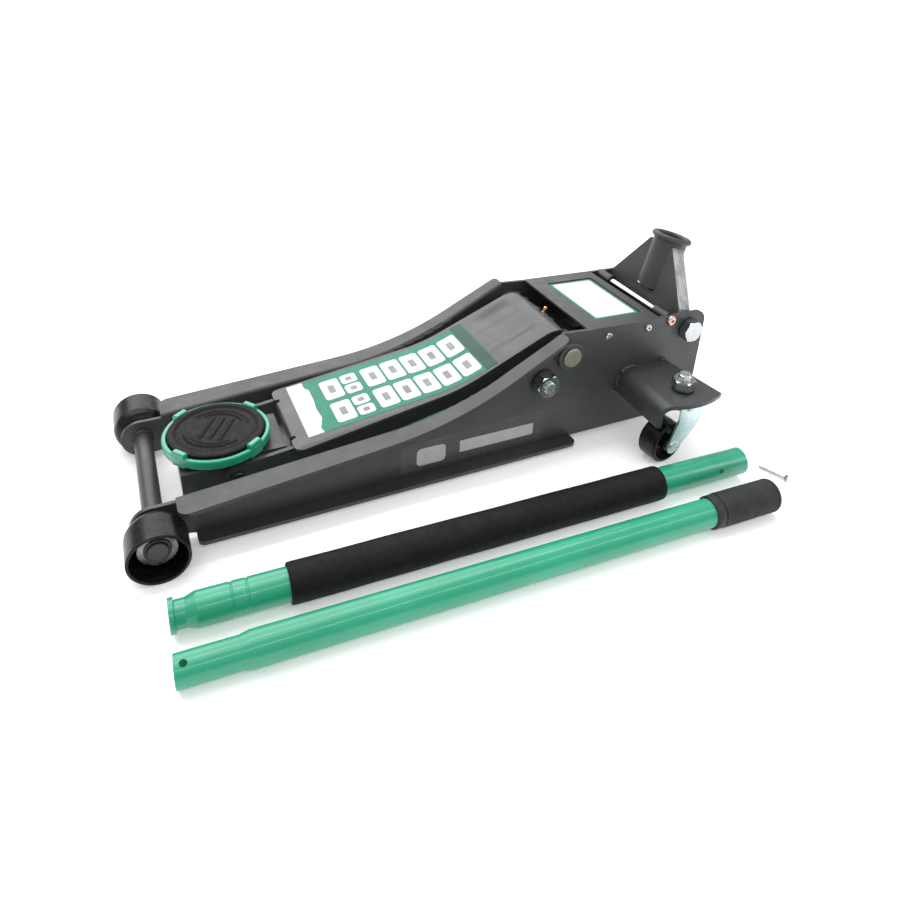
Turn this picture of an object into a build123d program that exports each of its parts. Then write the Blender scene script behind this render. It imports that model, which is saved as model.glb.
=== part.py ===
from build123d import *
import os
from math import atan2, cos, degrees, hypot, radians, sin, sqrt, tan

# Low-profile hydraulic floor jack, lowered, with its two handle pieces and their bolt laid beside it.
# Millimetres. Drawing axes: X runs from the front axle to the rear, Y to the far side and Z up from
# the floor. "Near" is the -Y side. STAND_CENTRE moves the finished pieces so that the origin is on
# the floor in the middle of everything.
STAND_CENTRE = (369.0, -68.0)

# ---- side plates -------------------------------------------------------------------------------
PLATE_IN = 84.0             # inner face of each side plate, from the middle
SHEET = 5.0                 # side plate thickness
PLATE_OUT = PLATE_IN + SHEET
PLATE_REAR = 754.0
PLATE_TOP = 172.4           # top edge at the rear
PLATE_BOTTOM = 9.0
REAR_CORNER = 18.0
EAR_R = 25.0                # round front ear that carries the axle
FLANGE_START = (24.5, 62.0)
FLANGE_SLOPE = 5.1          # degrees, front run of the top flange
CREST_SLOPE = 28.3          # degrees, run up to the crest
CREST = (508.5, 176.5)
FLANGE_BEND_R = 430.0       # long bend between the two runs
TOP_FLANGE_TIP = 120.0      # outer edge of the top flange at the front
CREST_FLANGE_TIP = 107.5    # outer edge of the top flange at the crest
BOTTOM_FLANGE_TIP = 109.0
BOTTOM_FLANGE = (41.0, 538.0)
FOLD_R = 4.5                # outside radius of the folds

# ---- pivots of the lift linkage (x, z) -----------------------------------------------------------
ARM_PIVOT = (522.0, 142.0)
ROD_PIVOT = (484.4, 109.5)
SADDLE_PIVOT = (94.0, 47.5)
# The radius rods keep the saddle level, so their front pin copies the offset of their rear stud.
ROD_FRONT = (SADDLE_PIVOT[0] + ROD_PIVOT[0] - ARM_PIVOT[0], SADDLE_PIVOT[1] + ROD_PIVOT[1] - ARM_PIVOT[1])
FIT = 0.05                  # radial running fit of pins, shafts and bores
OPEN_FIT = 0.4              # radial clearance at the radius rods' front pin
GAP = 0.3                   # least space between pieces that move past each other

# ---- front axle and wheels -----------------------------------------------------------------------
AXLE_Z = 32.0
AXLE_R = 11.0
AXLE_END = 131.0
GROOVE_R = 10.0
WHEEL_R = 32.0
WHEEL_IN = 92.0
WHEEL_OUT = 144.0
WHEEL_WALL = 3.6
WHEEL_SHOULDER = 17.0
HUB_R = 19.5
HUB_FACE = 124.6
CUP_FLOOR = 101.0
WASHER_R = 20.0

# ---- saddle --------------------------------------------------------------------------------------
SADDLE_X = 81.7
CUP_R = 62.0
CUP_FOOT_R = 50.0
CUP_BOTTOM = 62.0
CUP_RIM = 78.5
CUP_BASE = 67.0
PAD_R = 55.4
PAD_TOP = 83.0
LUG_TOP = 84.0
LUG_WIDTH = 18.0
LUG_IN = 54.0
LUG_TURN = -6.8             # the four lugs stand this far round from the diagonals, degrees
STEM_R = 13.0
BRACKET_HALF = 48.0
BRACKET_FRONT = 34.0
BRACKET_REAR = 124.0
BRACKET_TAIL = (156.0, 38.0)  # end and half width of the top plate's tail
BRACKET_TOP = 61.0
BRACKET_WALL = 6.0

# ---- lift arm ------------------------------------------------------------------------------------
BAR_IN = 52.0
BAR_OUT = 58.0
BAR_FRONT_R = 14.5
BAR_REAR_R = 25.0
SADDLE_PIN_R = 8.0
ROD_PIN_R = 6.0
SHAFT_R = 13.5
SHAFT_END = 99.0
BOSS_R = 20.0
BOSS_OUT = 96.0
SLEEVE_R = 20.0
COVER_FRONT = (160.0, 74.0)
COVER_BEND = (374.0, 109.0)
COVER_TOP = (510.0, 170.0)
COVER_REAR = (531.0, 165.5)
COVER_SHEET = 4.0
COVER_HALF = 71.5
APRON = (40.0, 42.0)        # half width and lower edge of the lip folded down at the cover's front
EAR_INNER = 47.0            # the cover's two front ears start here
EAR_NOTCH = 6.0             # depth of the relief notches between the lip and the ears
ROD_IN = 74.0
ROD_OUT = 80.0
ROD_HALF = 9.0
NIPPLE_ANGLE = 64.0

# ---- power unit ----------------------------------------------------------------------------------
RAM_Z = 75.0
LEVER_R = 72.0              # arm pivot to the lever pin
LEVER_ANGLE = 30.5          # lever behind the vertical when the arm is down, degrees
LEVER_PIN_R = 8.0
LEVER_IN = 14.8
LEVER_OUT = 20.8
LEVER_PIN = (ARM_PIVOT[0] + LEVER_R * sin(radians(LEVER_ANGLE)), ARM_PIVOT[1] - LEVER_R * cos(radians(LEVER_ANGLE)))
SLOT = (18.5, 30.0)         # width and height of the slot in the ram's clevis
CLEVIS = (544.0, 572.0)
GLAND = (573.5, 592.0)
CYLINDER = (578.0, 640.0)
SUPPORT = (580.0, 588.0)
BLOCK = (640.0, 700.0)
BLOCK_BOTTOM = 18.0
BLOCK_TOP = 130.0
BLOCK_HALF = 50.0
BORE_END = 688.0
TANK_R = 46.0
CYLINDER_R = 30.0
BORE_R = 22.0
RAM_R = 14.0
PISTON = (668.0, 684.0)

# ---- rear cover and tie rod ----------------------------------------------------------------------
REAR_COVER = ((549.3, 174.5), (669.5, 172.4))
REAR_COVER_SHEET = 3.0
REAR_SKIRT = 148.0          # lower edge of the cover's side skirts
RECESS = (575.0, 655.0)
RECESS_HALF = 65.0
RECESS_DEPTH = 1.5
COVER_SCREWS = ((582.8, 159.7), (649.9, 160.7))
TIE_ROD = (690.0, 165.0)
TIE_ROD_BARE = 55.0         # half length of the bright middle of the tie rod

# ---- handle yoke, drawn upright about its pivot and then tilted -----------------------------------
YOKE_PIVOT = (724.3, 146.9)
YOKE_TILT = 15.0
SOCKET_X = -5.8
SOCKET_R = 25.4
SOCKET_BORE = 21.0
SOCKET_BOTTOM = 30.0
SOCKET_FOOT = 12.0          # thick foot of the socket, bored for the valve driver
DRIVER_R = 14.0
RIM_Z = 107.6
RIM_R = 25.7
RIM_ROLL = 4.5
WEB_X = -22.0
WEB_SHEET = 5.0
WEB_TOP = (25.0, 97.3)      # half width and height of the web's top edge
WEB_FOOT = (80.0, 24.3)
WEB_BOTTOM = 9.0
CHEEK_DEPTH = 22.5
CHEEK_R = 16.5
PIVOT_BOLT_R = 9.0
EAR = (52.0, 74.0)          # the pump block's ears take the yoke bolts
PUMP_Y = 28.0               # the plunger stands beside the release valve
ROLLER = (YOKE_PIVOT[0] + 14.0, YOKE_PIVOT[1] - 26.0)
ROLLER_R = 8.0
PLUNGER_Z = 119.5
PLUNGER_R = 6.0
PLUNGER_CAP_R = 9.0
VALVE = (696.0, -28.0)

# ---- casters -------------------------------------------------------------------------------------
CASTER = (661.0, -164.3)
CASTER_TURN = 7.2           # swivel angle at which the casters stand, degrees
CASTER_TRAIL = 25.0
CASTER_R = 30.0
CASTER_HALF = 14.5
FORK_HALF = 22.4
FORK_SHEET = 3.0
BRACKET_Z = 101.5
BRACKET_SHEET = 6.0
BRACKET_BEND = 18.0         # outside radius of the fold
BRACKET_LIP = (67.0, 97.0)  # lower edge of the lip at the side plate and at the tip
BRACKET_ROOT = (627.0, 692.0)
BRACKET_TIP = (622.0, 705.0)
BRACKET_OUT = 201.5         # crown of the curved outer edge
STUD_R = 9.0
STUD_TOP = 126.0
NUT_FLATS = 28.0

# ---- handle --------------------------------------------------------------------------------------
TUBE_R = 18.0
TUBE_WALL = 2.5
JOINT_BORE = 16.2           # the upper piece's narrow end slides into this
JOINT_DEPTH = 62.0
FOAM = 3.8
LOWER_HANDLE = ((2.0, -211.5, TUBE_R + FOAM), (711.0, -240.0, TUBE_R + FOAM))
FOAM_SPAN = (113.0, 576.0)
UPPER_HANDLE = ((0.0, -273.3, 17.6), (700.0, -309.7, 21.8))
SHOULDER = 57.0
SWAGE = 10.0
SWAGED_R = 16.0
GRIP_START = 600.0
GRIP_R = 21.2
GRIP_COLLAR = 13.0
HANDLE_BOLT = ((765.5, -281.0, 4.4), (752.5, -243.0, 2.6))


# ---- small helpers -------------------------------------------------------------------------------
def slab(outline, low, high):
    """Solid of an outline drawn as (x, z), between two values of Y."""
    plane = Plane(origin=(0, high, 0), x_dir=(1, 0, 0), z_dir=(0, -1, 0))
    return extrude(plane * outline, high - low)


def plate(outline, low, high):
    """Solid of an outline drawn as (x, y), between two values of Z."""
    return extrude(Pos(0, 0, low) * outline, high - low)


def across(outline, low, high):
    """Solid of an outline drawn as (y, z), between two values of X."""
    return extrude(Plane.YZ.offset(low) * outline, high - low)


def bar_y(radius, low, high, place):
    """Round bar along Y at place (x, z)."""
    return Pos(place[0], (low + high) / 2, place[1]) * Rot(90, 0, 0) * Cylinder(radius, high - low)


def bar_x(radius, low, high, y, z):
    return Pos((low + high) / 2, y, z) * Rot(0, 90, 0) * Cylinder(radius, high - low)


def bar_z(radius, low, high, x, y):
    return Pos(x, y, (low + high) / 2) * Cylinder(radius, high - low)


def ring_y(outer, inner, low, high, place):
    return bar_y(outer, low, high, place) - bar_y(inner, low, high, place)


def ring_z(outer, inner, low, high, x, y):
    return bar_z(outer, low, high, x, y) - bar_z(inner, low, high, x, y)


def block(x, y, z):
    """Box from three (low, high) pairs."""
    spans = [high - low for low, high in (x, y, z)]
    middle = [(low + high) / 2 for low, high in (x, y, z)]
    return Pos(*middle) * Box(*spans)


def mirrored(shape):
    return mirror(shape, about=Plane.XZ)


def pair(shape):
    """The near piece together with its mirror image on the far side."""
    return Compound(children=[*shape.solids(), *mirrored(shape).solids()])


def polygon(*points):
    return make_face(Polyline(*points, close=True))


def disc(radius, place):
    return Pos(*place) * Circle(radius)


def rounded(outline, *corners):
    """Round the corners of a flat outline; each corner is (x, y, radius)."""
    for x, y, radius in corners:
        corner = outline.vertices().sort_by_distance((x, y, 0))[0]
        outline = fillet(corner, radius)
    return outline


def link(radius_a, place_a, radius_b, place_b):
    """Link outline: two discs and the straight sides that touch them both."""
    dx, dy = place_b[0] - place_a[0], place_b[1] - place_a[1]
    length = hypot(dx, dy)
    heading = atan2(dy, dx)
    lean = atan2(sqrt(length ** 2 - (radius_a - radius_b) ** 2), radius_a - radius_b)
    corners = []
    for radius, place, sides in ((radius_a, place_a, (1, -1)), (radius_b, place_b, (-1, 1))):
        for side in sides:
            angle = heading + side * lean
            corners.append((place[0] + radius * cos(angle), place[1] + radius * sin(angle)))
    return polygon(*corners) + disc(radius_a, place_a) + disc(radius_b, place_b)


def hexagon(flats, low, high, bore=0.0):
    """Hexagon along +Z whose upper corners are chamfered."""
    height = high - low
    body = extrude(RegularPolygon(flats / 2, 6, major_radius=False), height)
    envelope = Pos(0, 0, height / 2) * Cylinder(flats / sqrt(3), height)
    body = body & chamfer(envelope.edges().sort_by(Axis.Z)[-1], height * 0.14)
    if bore:
        body -= Pos(0, 0, height / 2) * Cylinder(bore, height)
    return Pos(0, 0, low) * body


def outward(shape, place):
    """Turn a piece drawn along +Z so that it points to the near side at place (x, z)."""
    return Pos(place[0], 0, place[1]) * Rot(90, 0, 0) * shape


def turned(profile, place):
    """Turn a profile drawn as (radius, distance from the middle) about the Y line at place (x, z)."""
    return outward(revolve(Plane.XZ * profile, Axis.Z), place)


# ---- side plates ---------------------------------------------------------------------------------
def flange_knee():
    """Where the two straight runs of the top flange would meet."""
    low, high = tan(radians(FLANGE_SLOPE)), tan(radians(CREST_SLOPE))
    run, rise = CREST[0] - FLANGE_START[0], CREST[1] - FLANGE_START[1]
    along = (rise - run * high) / (low - high)
    return FLANGE_START[0] + along, FLANGE_START[1] + along * low


def web_outline():
    """Side plate seen from the side, below its folded top flange."""
    knee = flange_knee()
    outline = polygon(
        (0, AXLE_Z + EAR_R - 0.5),
        (FLANGE_START[0], FLANGE_START[1] - SHEET),
        (knee[0], knee[1] - SHEET),
        (CREST[0], CREST[1] - SHEET),
        CREST,
        REAR_COVER[0],
        (REAR_COVER[1][0], PLATE_TOP),
        (PLATE_REAR, PLATE_TOP),
        (PLATE_REAR, PLATE_BOTTOM),
        (BOTTOM_FLANGE[0], PLATE_BOTTOM),
        (34, PLATE_BOTTOM + 1.5),
        (0, AXLE_Z - EAR_R + 0.5),
    )
    outline = rounded(outline, (knee[0], knee[1] - SHEET, FLANGE_BEND_R), (PLATE_REAR, PLATE_TOP, REAR_CORNER))
    return outline + disc(EAR_R, (0, AXLE_Z))


def top_flange():
    """Outward fold along the top edge of the near plate, narrowing towards the crest."""
    slope, steep = radians(FLANGE_SLOPE), radians(CREST_SLOPE)
    ahead = (FLANGE_START[0] - 4 * cos(slope), FLANGE_START[1] - 4 * sin(slope))
    beyond = (CREST[0] + 8 * cos(steep), CREST[1] + 8 * sin(steep))
    corners = [Vector(x, -PLATE_IN, z) for x, z in (ahead, flange_knee(), beyond)]
    path = FilletPolyline(*corners, radius=FLANGE_BEND_R)
    width = TOP_FLANGE_TIP - PLATE_IN
    profile = rounded(polygon((0, 0), (width, 0), (width, -SHEET), (0, -SHEET)), (0, 0, FOLD_R))
    start = Plane(origin=corners[0], x_dir=(0, -1, 0), z_dir=(-cos(slope), 0, -sin(slope)))
    fold = sweep(start * profile, path=path)
    plan = polygon(
        (FLANGE_START[0], -PLATE_IN + 1),
        (CREST[0], -PLATE_IN + 1),
        (CREST[0], -CREST_FLANGE_TIP),
        (FLANGE_START[0], -TOP_FLANGE_TIP),
    )
    plan = rounded(plan, (CREST[0], -CREST_FLANGE_TIP, 8), (FLANGE_START[0], -TOP_FLANGE_TIP, 12))
    return fold & plate(plan, 0, 200)


def bottom_flange():
    profile = polygon(
        (-PLATE_IN, PLATE_BOTTOM + 1),
        (-PLATE_IN, PLATE_BOTTOM - 4),
        (-BOTTOM_FLANGE_TIP, PLATE_BOTTOM - 4),
        (-BOTTOM_FLANGE_TIP, PLATE_BOTTOM + 1),
    )
    profile = rounded(profile, (-PLATE_IN, PLATE_BOTTOM - 4, FOLD_R))
    fold = across(profile, *BOTTOM_FLANGE)
    tips = fold.edges().filter_by(Axis.Z).sort_by(Axis.Y)[:2]
    return fillet(tips, 8)


def side_plate():
    shape = slab(web_outline(), -PLATE_OUT, -PLATE_IN) + top_flange() + bottom_flange()
    holes = ((AXLE_R, (0, AXLE_Z)), (SHAFT_R, ARM_PIVOT), (8.5, ROD_PIVOT), (PIVOT_BOLT_R, YOKE_PIVOT))
    small = ((4.0, TIE_ROD), *((2.5, place) for place in COVER_SCREWS))
    for radius, place in (*holes, *small):
        shape -= bar_y(radius, -PLATE_OUT - 1, -PLATE_IN + 1, place)
    return shape


# ---- front axle and wheels -----------------------------------------------------------------------
def front_axle():
    axle = bar_y(AXLE_R, -AXLE_END, AXLE_END, (0, AXLE_Z))
    axle = chamfer(axle.edges(), 0.8)
    for side in (-1, 1):
        low, high = sorted((side * 127.0, side * 128.6))
        axle -= ring_y(AXLE_R + 1, GROOVE_R, low, high, (0, AXLE_Z))
        low, high = sorted((side * PLATE_OUT, side * (WHEEL_IN - GAP)))
        axle += bar_y(16.0, low, high, (0, AXLE_Z))
    return axle


def axle_washer():
    return ring_y(WASHER_R, AXLE_R, -127.0, -HUB_FACE - 0.4, (0, AXLE_Z))


def axle_snap_ring():
    clip = ring_y(14.0, GROOVE_R, -128.5, -127.1, (0, AXLE_Z))
    return clip - block((-2.5, 2.5), (-130, -125), (AXLE_Z - 16, AXLE_Z))


def front_wheel():
    bore = AXLE_R + FIT
    profile = polygon(
        (bore, WHEEL_IN),
        (WHEEL_R, WHEEL_IN),
        (WHEEL_R, WHEEL_OUT),
        (WHEEL_R - WHEEL_WALL, WHEEL_OUT),
        (WHEEL_R - WHEEL_WALL, CUP_FLOOR),
        (HUB_R, CUP_FLOOR),
        (HUB_R, HUB_FACE),
        (bore, HUB_FACE),
    )
    profile = rounded(
        profile,
        (WHEEL_R, WHEEL_IN, WHEEL_SHOULDER),
        (WHEEL_R - WHEEL_WALL, CUP_FLOOR, 6),
        (HUB_R, CUP_FLOOR, 2),
        (WHEEL_R, WHEEL_OUT, 1.4),
        (WHEEL_R - WHEEL_WALL, WHEEL_OUT, 1.4),
        (HUB_R, HUB_FACE, 1),
    )
    return turned(profile, (0, AXLE_Z))


# ---- saddle --------------------------------------------------------------------------------------
def lug_angles():
    return [LUG_TURN + 45 + 90 * step for step in range(4)]


def saddle_cup():
    """Dished saddle with a raised rim, four lugs and the stem it turns on."""
    profile = polygon(
        (0, CUP_BOTTOM),
        (CUP_FOOT_R, CUP_BOTTOM),
        (CUP_R, CUP_BOTTOM + 5),
        (CUP_R, CUP_RIM),
        (PAD_R + 1.2, CUP_RIM),
        (PAD_R + 1.2, CUP_BASE),
        (0, CUP_BASE),
    )
    profile = rounded(profile, (CUP_R, CUP_BOTTOM + 5, 4), (CUP_R, CUP_RIM, 2), (PAD_R + 1.2, CUP_RIM, 1.5))
    cup = revolve(Plane.XZ * profile, Axis.Z)
    for angle in lug_angles():
        lug = block((LUG_IN, CUP_R - 0.6), (-LUG_WIDTH / 2, LUG_WIDTH / 2), (CUP_BASE - 1, LUG_TOP))
        lug = chamfer(lug.edges().group_by(Axis.Z)[-1], 1.2)
        cup += Rot(0, 0, angle) * lug
    cup += bar_z(STEM_R, 46.0, CUP_BOTTOM, 0, 0) - ring_z(STEM_R + 1, STEM_R - 1.5, 49.0, 50.6, 0, 0)
    return Pos(SADDLE_X, 0, 0) * cup


def saddle_pad():
    """Ribbed rubber pad notched around the lugs."""
    pad = Pos(0, 0, (CUP_BASE + PAD_TOP) / 2) * Cylinder(PAD_R, PAD_TOP - CUP_BASE)
    pad = fillet(pad.edges().sort_by(Axis.Z)[-1], 1.5)
    for angle in lug_angles():
        notch = block((LUG_IN - 0.4, CUP_R), (-LUG_WIDTH / 2 - 0.4, LUG_WIDTH / 2 + 0.4), (CUP_BASE - 1, PAD_TOP + 1))
        pad -= Rot(0, 0, angle) * notch
    return Pos(SADDLE_X, 0, 0) * pad


def stem_clip():
    clip = ring_z(STEM_R + 4, STEM_R - 1.5, 49.1, 50.5, SADDLE_X, 0)
    return clip - block((SADDLE_X + 2, SADDLE_X + 20), (-4, 4), (48, 52))


def saddle_bracket():
    """Folded bracket below the saddle: top, front wall and two side walls with both pivots."""
    height = BRACKET_TOP
    walls = polygon(
        (BRACKET_FRONT, height),
        (BRACKET_REAR, height),
        (BRACKET_REAR, 52.0),
        (SADDLE_PIVOT[0] + 14, 36.0),
        (ROD_FRONT[0] + 14, ROD_FRONT[1] - 8.0),
        (BRACKET_FRONT, ROD_FRONT[1] - 8.0),
    )
    walls = rounded(walls, (BRACKET_FRONT, ROD_FRONT[1] - 8.0, 8), (BRACKET_REAR, 52.0, 4))
    half = BRACKET_HALF
    body = slab(walls, -half, half)
    inner = half - BRACKET_WALL
    body -= block((BRACKET_FRONT + BRACKET_WALL, BRACKET_REAR + 1), (-inner, inner), (0, height - BRACKET_WALL))
    upper = body.edges().filter_by(Axis.X).group_by(Axis.Z)[-1]
    body = fillet(upper, 5)
    tail, tail_half = BRACKET_TAIL
    body += block((BRACKET_REAR - 6, tail), (-tail_half, tail_half), (height - BRACKET_WALL, height))
    body -= bar_y(SADDLE_PIN_R + FIT, -half - 1, half + 1, SADDLE_PIVOT)
    body -= bar_y(ROD_PIN_R, -half - 1, half + 1, ROD_FRONT)
    return body - bar_z(STEM_R + FIT, 40, 70, SADDLE_X, 0)


def rod_pin():
    return chamfer(bar_y(ROD_PIN_R, -83.0, 83.0, ROD_FRONT).edges(), 0.6)


# ---- lift arm ------------------------------------------------------------------------------------
def cover_line(drop):
    """Corner points of the arm cover's upper side, lowered by drop."""
    return [(x, z - drop) for x, z in (COVER_FRONT, COVER_BEND, COVER_TOP, COVER_REAR)]


def above_cover():
    """Flat region above the underside of the arm cover, which trims the pieces that carry it."""
    lower = cover_line(COVER_SHEET)
    region = polygon(
        *lower,
        (lower[3][0] + 30, lower[3][1] - 6.4),
        (lower[3][0] + 30, 220.0),
        (lower[0][0], 220.0),
    )
    return rounded(region, (*lower[1], 64), (*lower[2], 32))


def arm_bar():
    """Deep side bar of the lift arm, whose top carries the cover."""
    top = cover_line(COVER_SHEET)
    outline = polygon(
        (SADDLE_PIVOT[0], SADDLE_PIVOT[1] + BAR_FRONT_R),
        (108.0, 63.4),
        *top[:3],
        (ARM_PIVOT[0] + 8, top[2][1] - 8),
        (ARM_PIVOT[0] + 8, ARM_PIVOT[1] - 20),
        (440.0, 92.0),
        (300.0, 56.0),
        (SADDLE_PIVOT[0] + 4, SADDLE_PIVOT[1] - BAR_FRONT_R + 0.4),
    )
    outline += disc(BAR_FRONT_R, SADDLE_PIVOT) + disc(BAR_REAR_R - 1, ARM_PIVOT)
    shape = slab(outline - above_cover(), -BAR_OUT, -BAR_IN)
    shape -= bar_y(SADDLE_PIN_R, -BAR_OUT - 1, -BAR_IN + 1, SADDLE_PIVOT)
    return shape - bar_y(SLEEVE_R, -BAR_OUT - 1, -BAR_IN + 1, ARM_PIVOT)


def arm_cover():
    """Bent sheet on top of the arm, with two ears at its front edge and an apron folded down between them."""
    upper = cover_line(0)
    lower = cover_line(COVER_SHEET)
    band = polygon(*upper, *reversed(lower))
    band = rounded(band, (*COVER_BEND, 60), (*lower[1], 64), (*COVER_TOP, 36), (*lower[2], 32))
    sheet = slab(band, -COVER_HALF, COVER_HALF)
    front, rear, notch_back = COVER_FRONT[0], COVER_REAR[0], COVER_FRONT[0] + EAR_NOTCH
    apron_half, apron_low = APRON
    plan = polygon((front, -COVER_HALF), (front, COVER_HALF), (rear, COVER_HALF), (rear, -COVER_HALF))
    corners = [(front, side * COVER_HALF, 10) for side in (-1, 1)]
    corners += [(rear, side * COVER_HALF, 8) for side in (-1, 1)]
    plan = rounded(plan, *corners)
    cover = sheet & plate(plan, 0, 200)
    notch = block((front - 1, notch_back), (apron_half, EAR_INNER), (40, 100))
    cover -= notch + mirrored(notch)
    fold = fillet(
        block((front, front + COVER_SHEET), (-apron_half, apron_half), (apron_low, COVER_FRONT[1]))
        .edges().filter_by(Axis.Y).group_by(Axis.Z)[-1].sort_by(Axis.X)[0],
        3.0,
    )
    return cover + fold - bar_z(6.0, 100, 200, rear + 1, 0)


def nipple_axis():
    """Location on the hub's surface from which the grease nipple points out."""
    angle = radians(NIPPLE_ANGLE)
    outward_dir = (cos(angle), 0, sin(angle))
    origin = (ARM_PIVOT[0] + SLEEVE_R * cos(angle), 0, ARM_PIVOT[1] + SLEEVE_R * sin(angle))
    return Location(Plane(origin=origin, x_dir=(0, 1, 0), z_dir=outward_dir))


def arm_hub():
    hub = ring_y(SLEEVE_R, SHAFT_R + FIT, -PLATE_IN + 0.5, PLATE_IN - 0.5, ARM_PIVOT)
    return hub - nipple_axis() * Pos(0, 0, -3) * Cylinder(2.5, 12)


def grease_nipple():
    shank = Pos(0, 0, -2) * Cylinder(2.5, 6)
    body = hexagon(9.0, 1.0, 4.5) + Pos(0, 0, 6.5) * Cylinder(2.4, 5) + Pos(0, 0, 9.5) * Sphere(3.0)
    return nipple_axis() * (shank + body)


def arm_lever():
    """Lever plate below the hub that the ram pushes."""
    outline = link(24.0, ARM_PIVOT, 13.0, LEVER_PIN) - above_cover()
    shape = slab(outline, -LEVER_OUT, -LEVER_IN)
    shape -= bar_y(SLEEVE_R, -LEVER_OUT - 1, -LEVER_IN + 1, ARM_PIVOT)
    return shape - bar_y(LEVER_PIN_R, -LEVER_OUT - 1, -LEVER_IN + 1, LEVER_PIN)


def arm_cross_tubes():
    tubes = [ring_y(12.0, 9.0, -BAR_IN, BAR_IN, place) for place in ((250.0, 66.0), (400.0, 96.0))]
    return Compound(children=[tube.solid() for tube in tubes])


def saddle_pin():
    """Stub pin from the arm's side bar into the saddle bracket's side wall."""
    pin = bar_y(SADDLE_PIN_R, -BAR_OUT - 5, -BRACKET_HALF + BRACKET_WALL + 2, SADDLE_PIVOT)
    return chamfer(pin.edges(), 0.8)


def lever_pin():
    return chamfer(bar_y(LEVER_PIN_R, -24, 24, LEVER_PIN).edges(), 0.8)


def radius_rod():
    """Flat bar beside the arm from the rear stud to the saddle bracket's pin."""
    outline = link(ROD_HALF, ROD_PIVOT, ROD_HALF, ROD_FRONT)
    outline += disc(15.0, ROD_PIVOT) + disc(11.0, ROD_FRONT)
    shape = slab(outline, -ROD_OUT, -ROD_IN)
    shape -= bar_y(9.0 + FIT, -ROD_OUT - 1, -ROD_IN + 1, ROD_PIVOT)
    return shape - bar_y(ROD_PIN_R + OPEN_FIT, -ROD_OUT - 1, -ROD_IN + 1, ROD_FRONT)


# ---- pivots in the side plates -------------------------------------------------------------------
def pivot_shaft():
    return chamfer(bar_y(SHAFT_R, -SHAFT_END, SHAFT_END, ARM_PIVOT).edges(), 1.0)


def pivot_boss():
    boss = ring_y(BOSS_R, SHAFT_R, -BOSS_OUT, -PLATE_OUT, ARM_PIVOT)
    outer = boss.edges().group_by(Axis.Y)[0].sort_by(SortBy.RADIUS)[-1]
    return fillet(outer, 2.5)


def rod_stud():
    """Shouldered stud: head inside, journal for the rod, thread through the plate."""
    stud = bar_y(8.5, -110.5, -PLATE_IN, ROD_PIVOT) + bar_y(9.0, -PLATE_IN, -ROD_IN + 1, ROD_PIVOT)
    return chamfer(stud.edges().sort_by(Axis.Y)[0], 1.2) + bar_y(13.0, -ROD_IN + 0.8, -69.0, ROD_PIVOT)


def rod_washer():
    return ring_y(18.0, 8.5, -92.0, -PLATE_OUT, ROD_PIVOT)


def rod_nut():
    return outward(hexagon(30.0, 92.0, 106.0, 8.5), ROD_PIVOT)


def yoke_bolt():
    shank = bar_y(PIVOT_BOLT_R, -91.0, -EAR[0] - 3, YOKE_PIVOT)
    return shank + outward(hexagon(29.5, 91.0, 103.0), YOKE_PIVOT)


def yoke_washer():
    return ring_y(16.5, PIVOT_BOLT_R, -91.0, -PLATE_OUT, YOKE_PIVOT)


# ---- power unit ----------------------------------------------------------------------------------
def cylinder_support():
    """Cross plate welded between the side plates around the cylinder."""
    wall = block(SUPPORT, (-PLATE_IN, PLATE_IN), (15, 128))
    return wall - bar_x(CYLINDER_R, SUPPORT[0] - 1, SUPPORT[1] + 1, 0, RAM_Z)


def cylinder():
    tube = bar_x(CYLINDER_R, *CYLINDER, 0, RAM_Z)
    return tube - bar_x(BORE_R, CYLINDER[0] - 1, CYLINDER[1] + 1, 0, RAM_Z)


def gland_nut():
    gland = bar_x(BORE_R, GLAND[0], GLAND[1], 0, RAM_Z) + bar_x(27.0, GLAND[0], CYLINDER[0], 0, RAM_Z)
    return gland - bar_x(RAM_R + FIT, GLAND[0] - 1, GLAND[1] + 1, 0, RAM_Z)


def reservoir():
    tank = bar_x(TANK_R, SUPPORT[1], BLOCK[0], 0, RAM_Z)
    tank -= bar_x(TANK_R - 4, SUPPORT[1] - 1, BLOCK[0] + 1, 0, RAM_Z)
    return tank - bar_z(5.0, RAM_Z, 140, 614, 0)


def filler_plug():
    head = Pos(614, 0, 0) * hexagon(16.0, RAM_Z + TANK_R + 0.2, RAM_Z + TANK_R + 6)
    return head + bar_z(5.0, RAM_Z + TANK_R - 8, RAM_Z + TANK_R + 1, 614, 0)


def pump_block():
    """Cast block: cylinder end, plunger bore, release valve seat and two ears for the yoke bolts."""
    body = block(BLOCK, (-BLOCK_HALF, BLOCK_HALF), (BLOCK_BOTTOM, BLOCK_TOP))
    body = fillet(body.edges().filter_by(Axis.Z), 6)
    body += block((655, BLOCK[1]), (-EAR[1], EAR[1]), (84, 122))
    ears = slab(link(CHEEK_R - 1, YOKE_PIVOT, 17.0, (682.0, 105.0)), -EAR[1], -EAR[0])
    body += ears + mirrored(ears)
    for side in (-1, 1):
        low, high = sorted((side * (EAR[0] + 3), side * (EAR[1] + 1)))
        body -= bar_y(PIVOT_BOLT_R, low, high, YOKE_PIVOT)
    body -= bar_x(BORE_R, BLOCK[0] - 1, BORE_END, 0, RAM_Z)
    body -= bar_x(PLUNGER_R + FIT, 640, BLOCK[1] + 1, PUMP_Y, PLUNGER_Z)
    body -= bar_x(PLUNGER_CAP_R + 0.5, BLOCK[1] - 3, BLOCK[1] + 1, PUMP_Y, PLUNGER_Z)
    return body - bar_z(5.0 + FIT, 100, BLOCK_TOP + 1, *VALVE)


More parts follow.
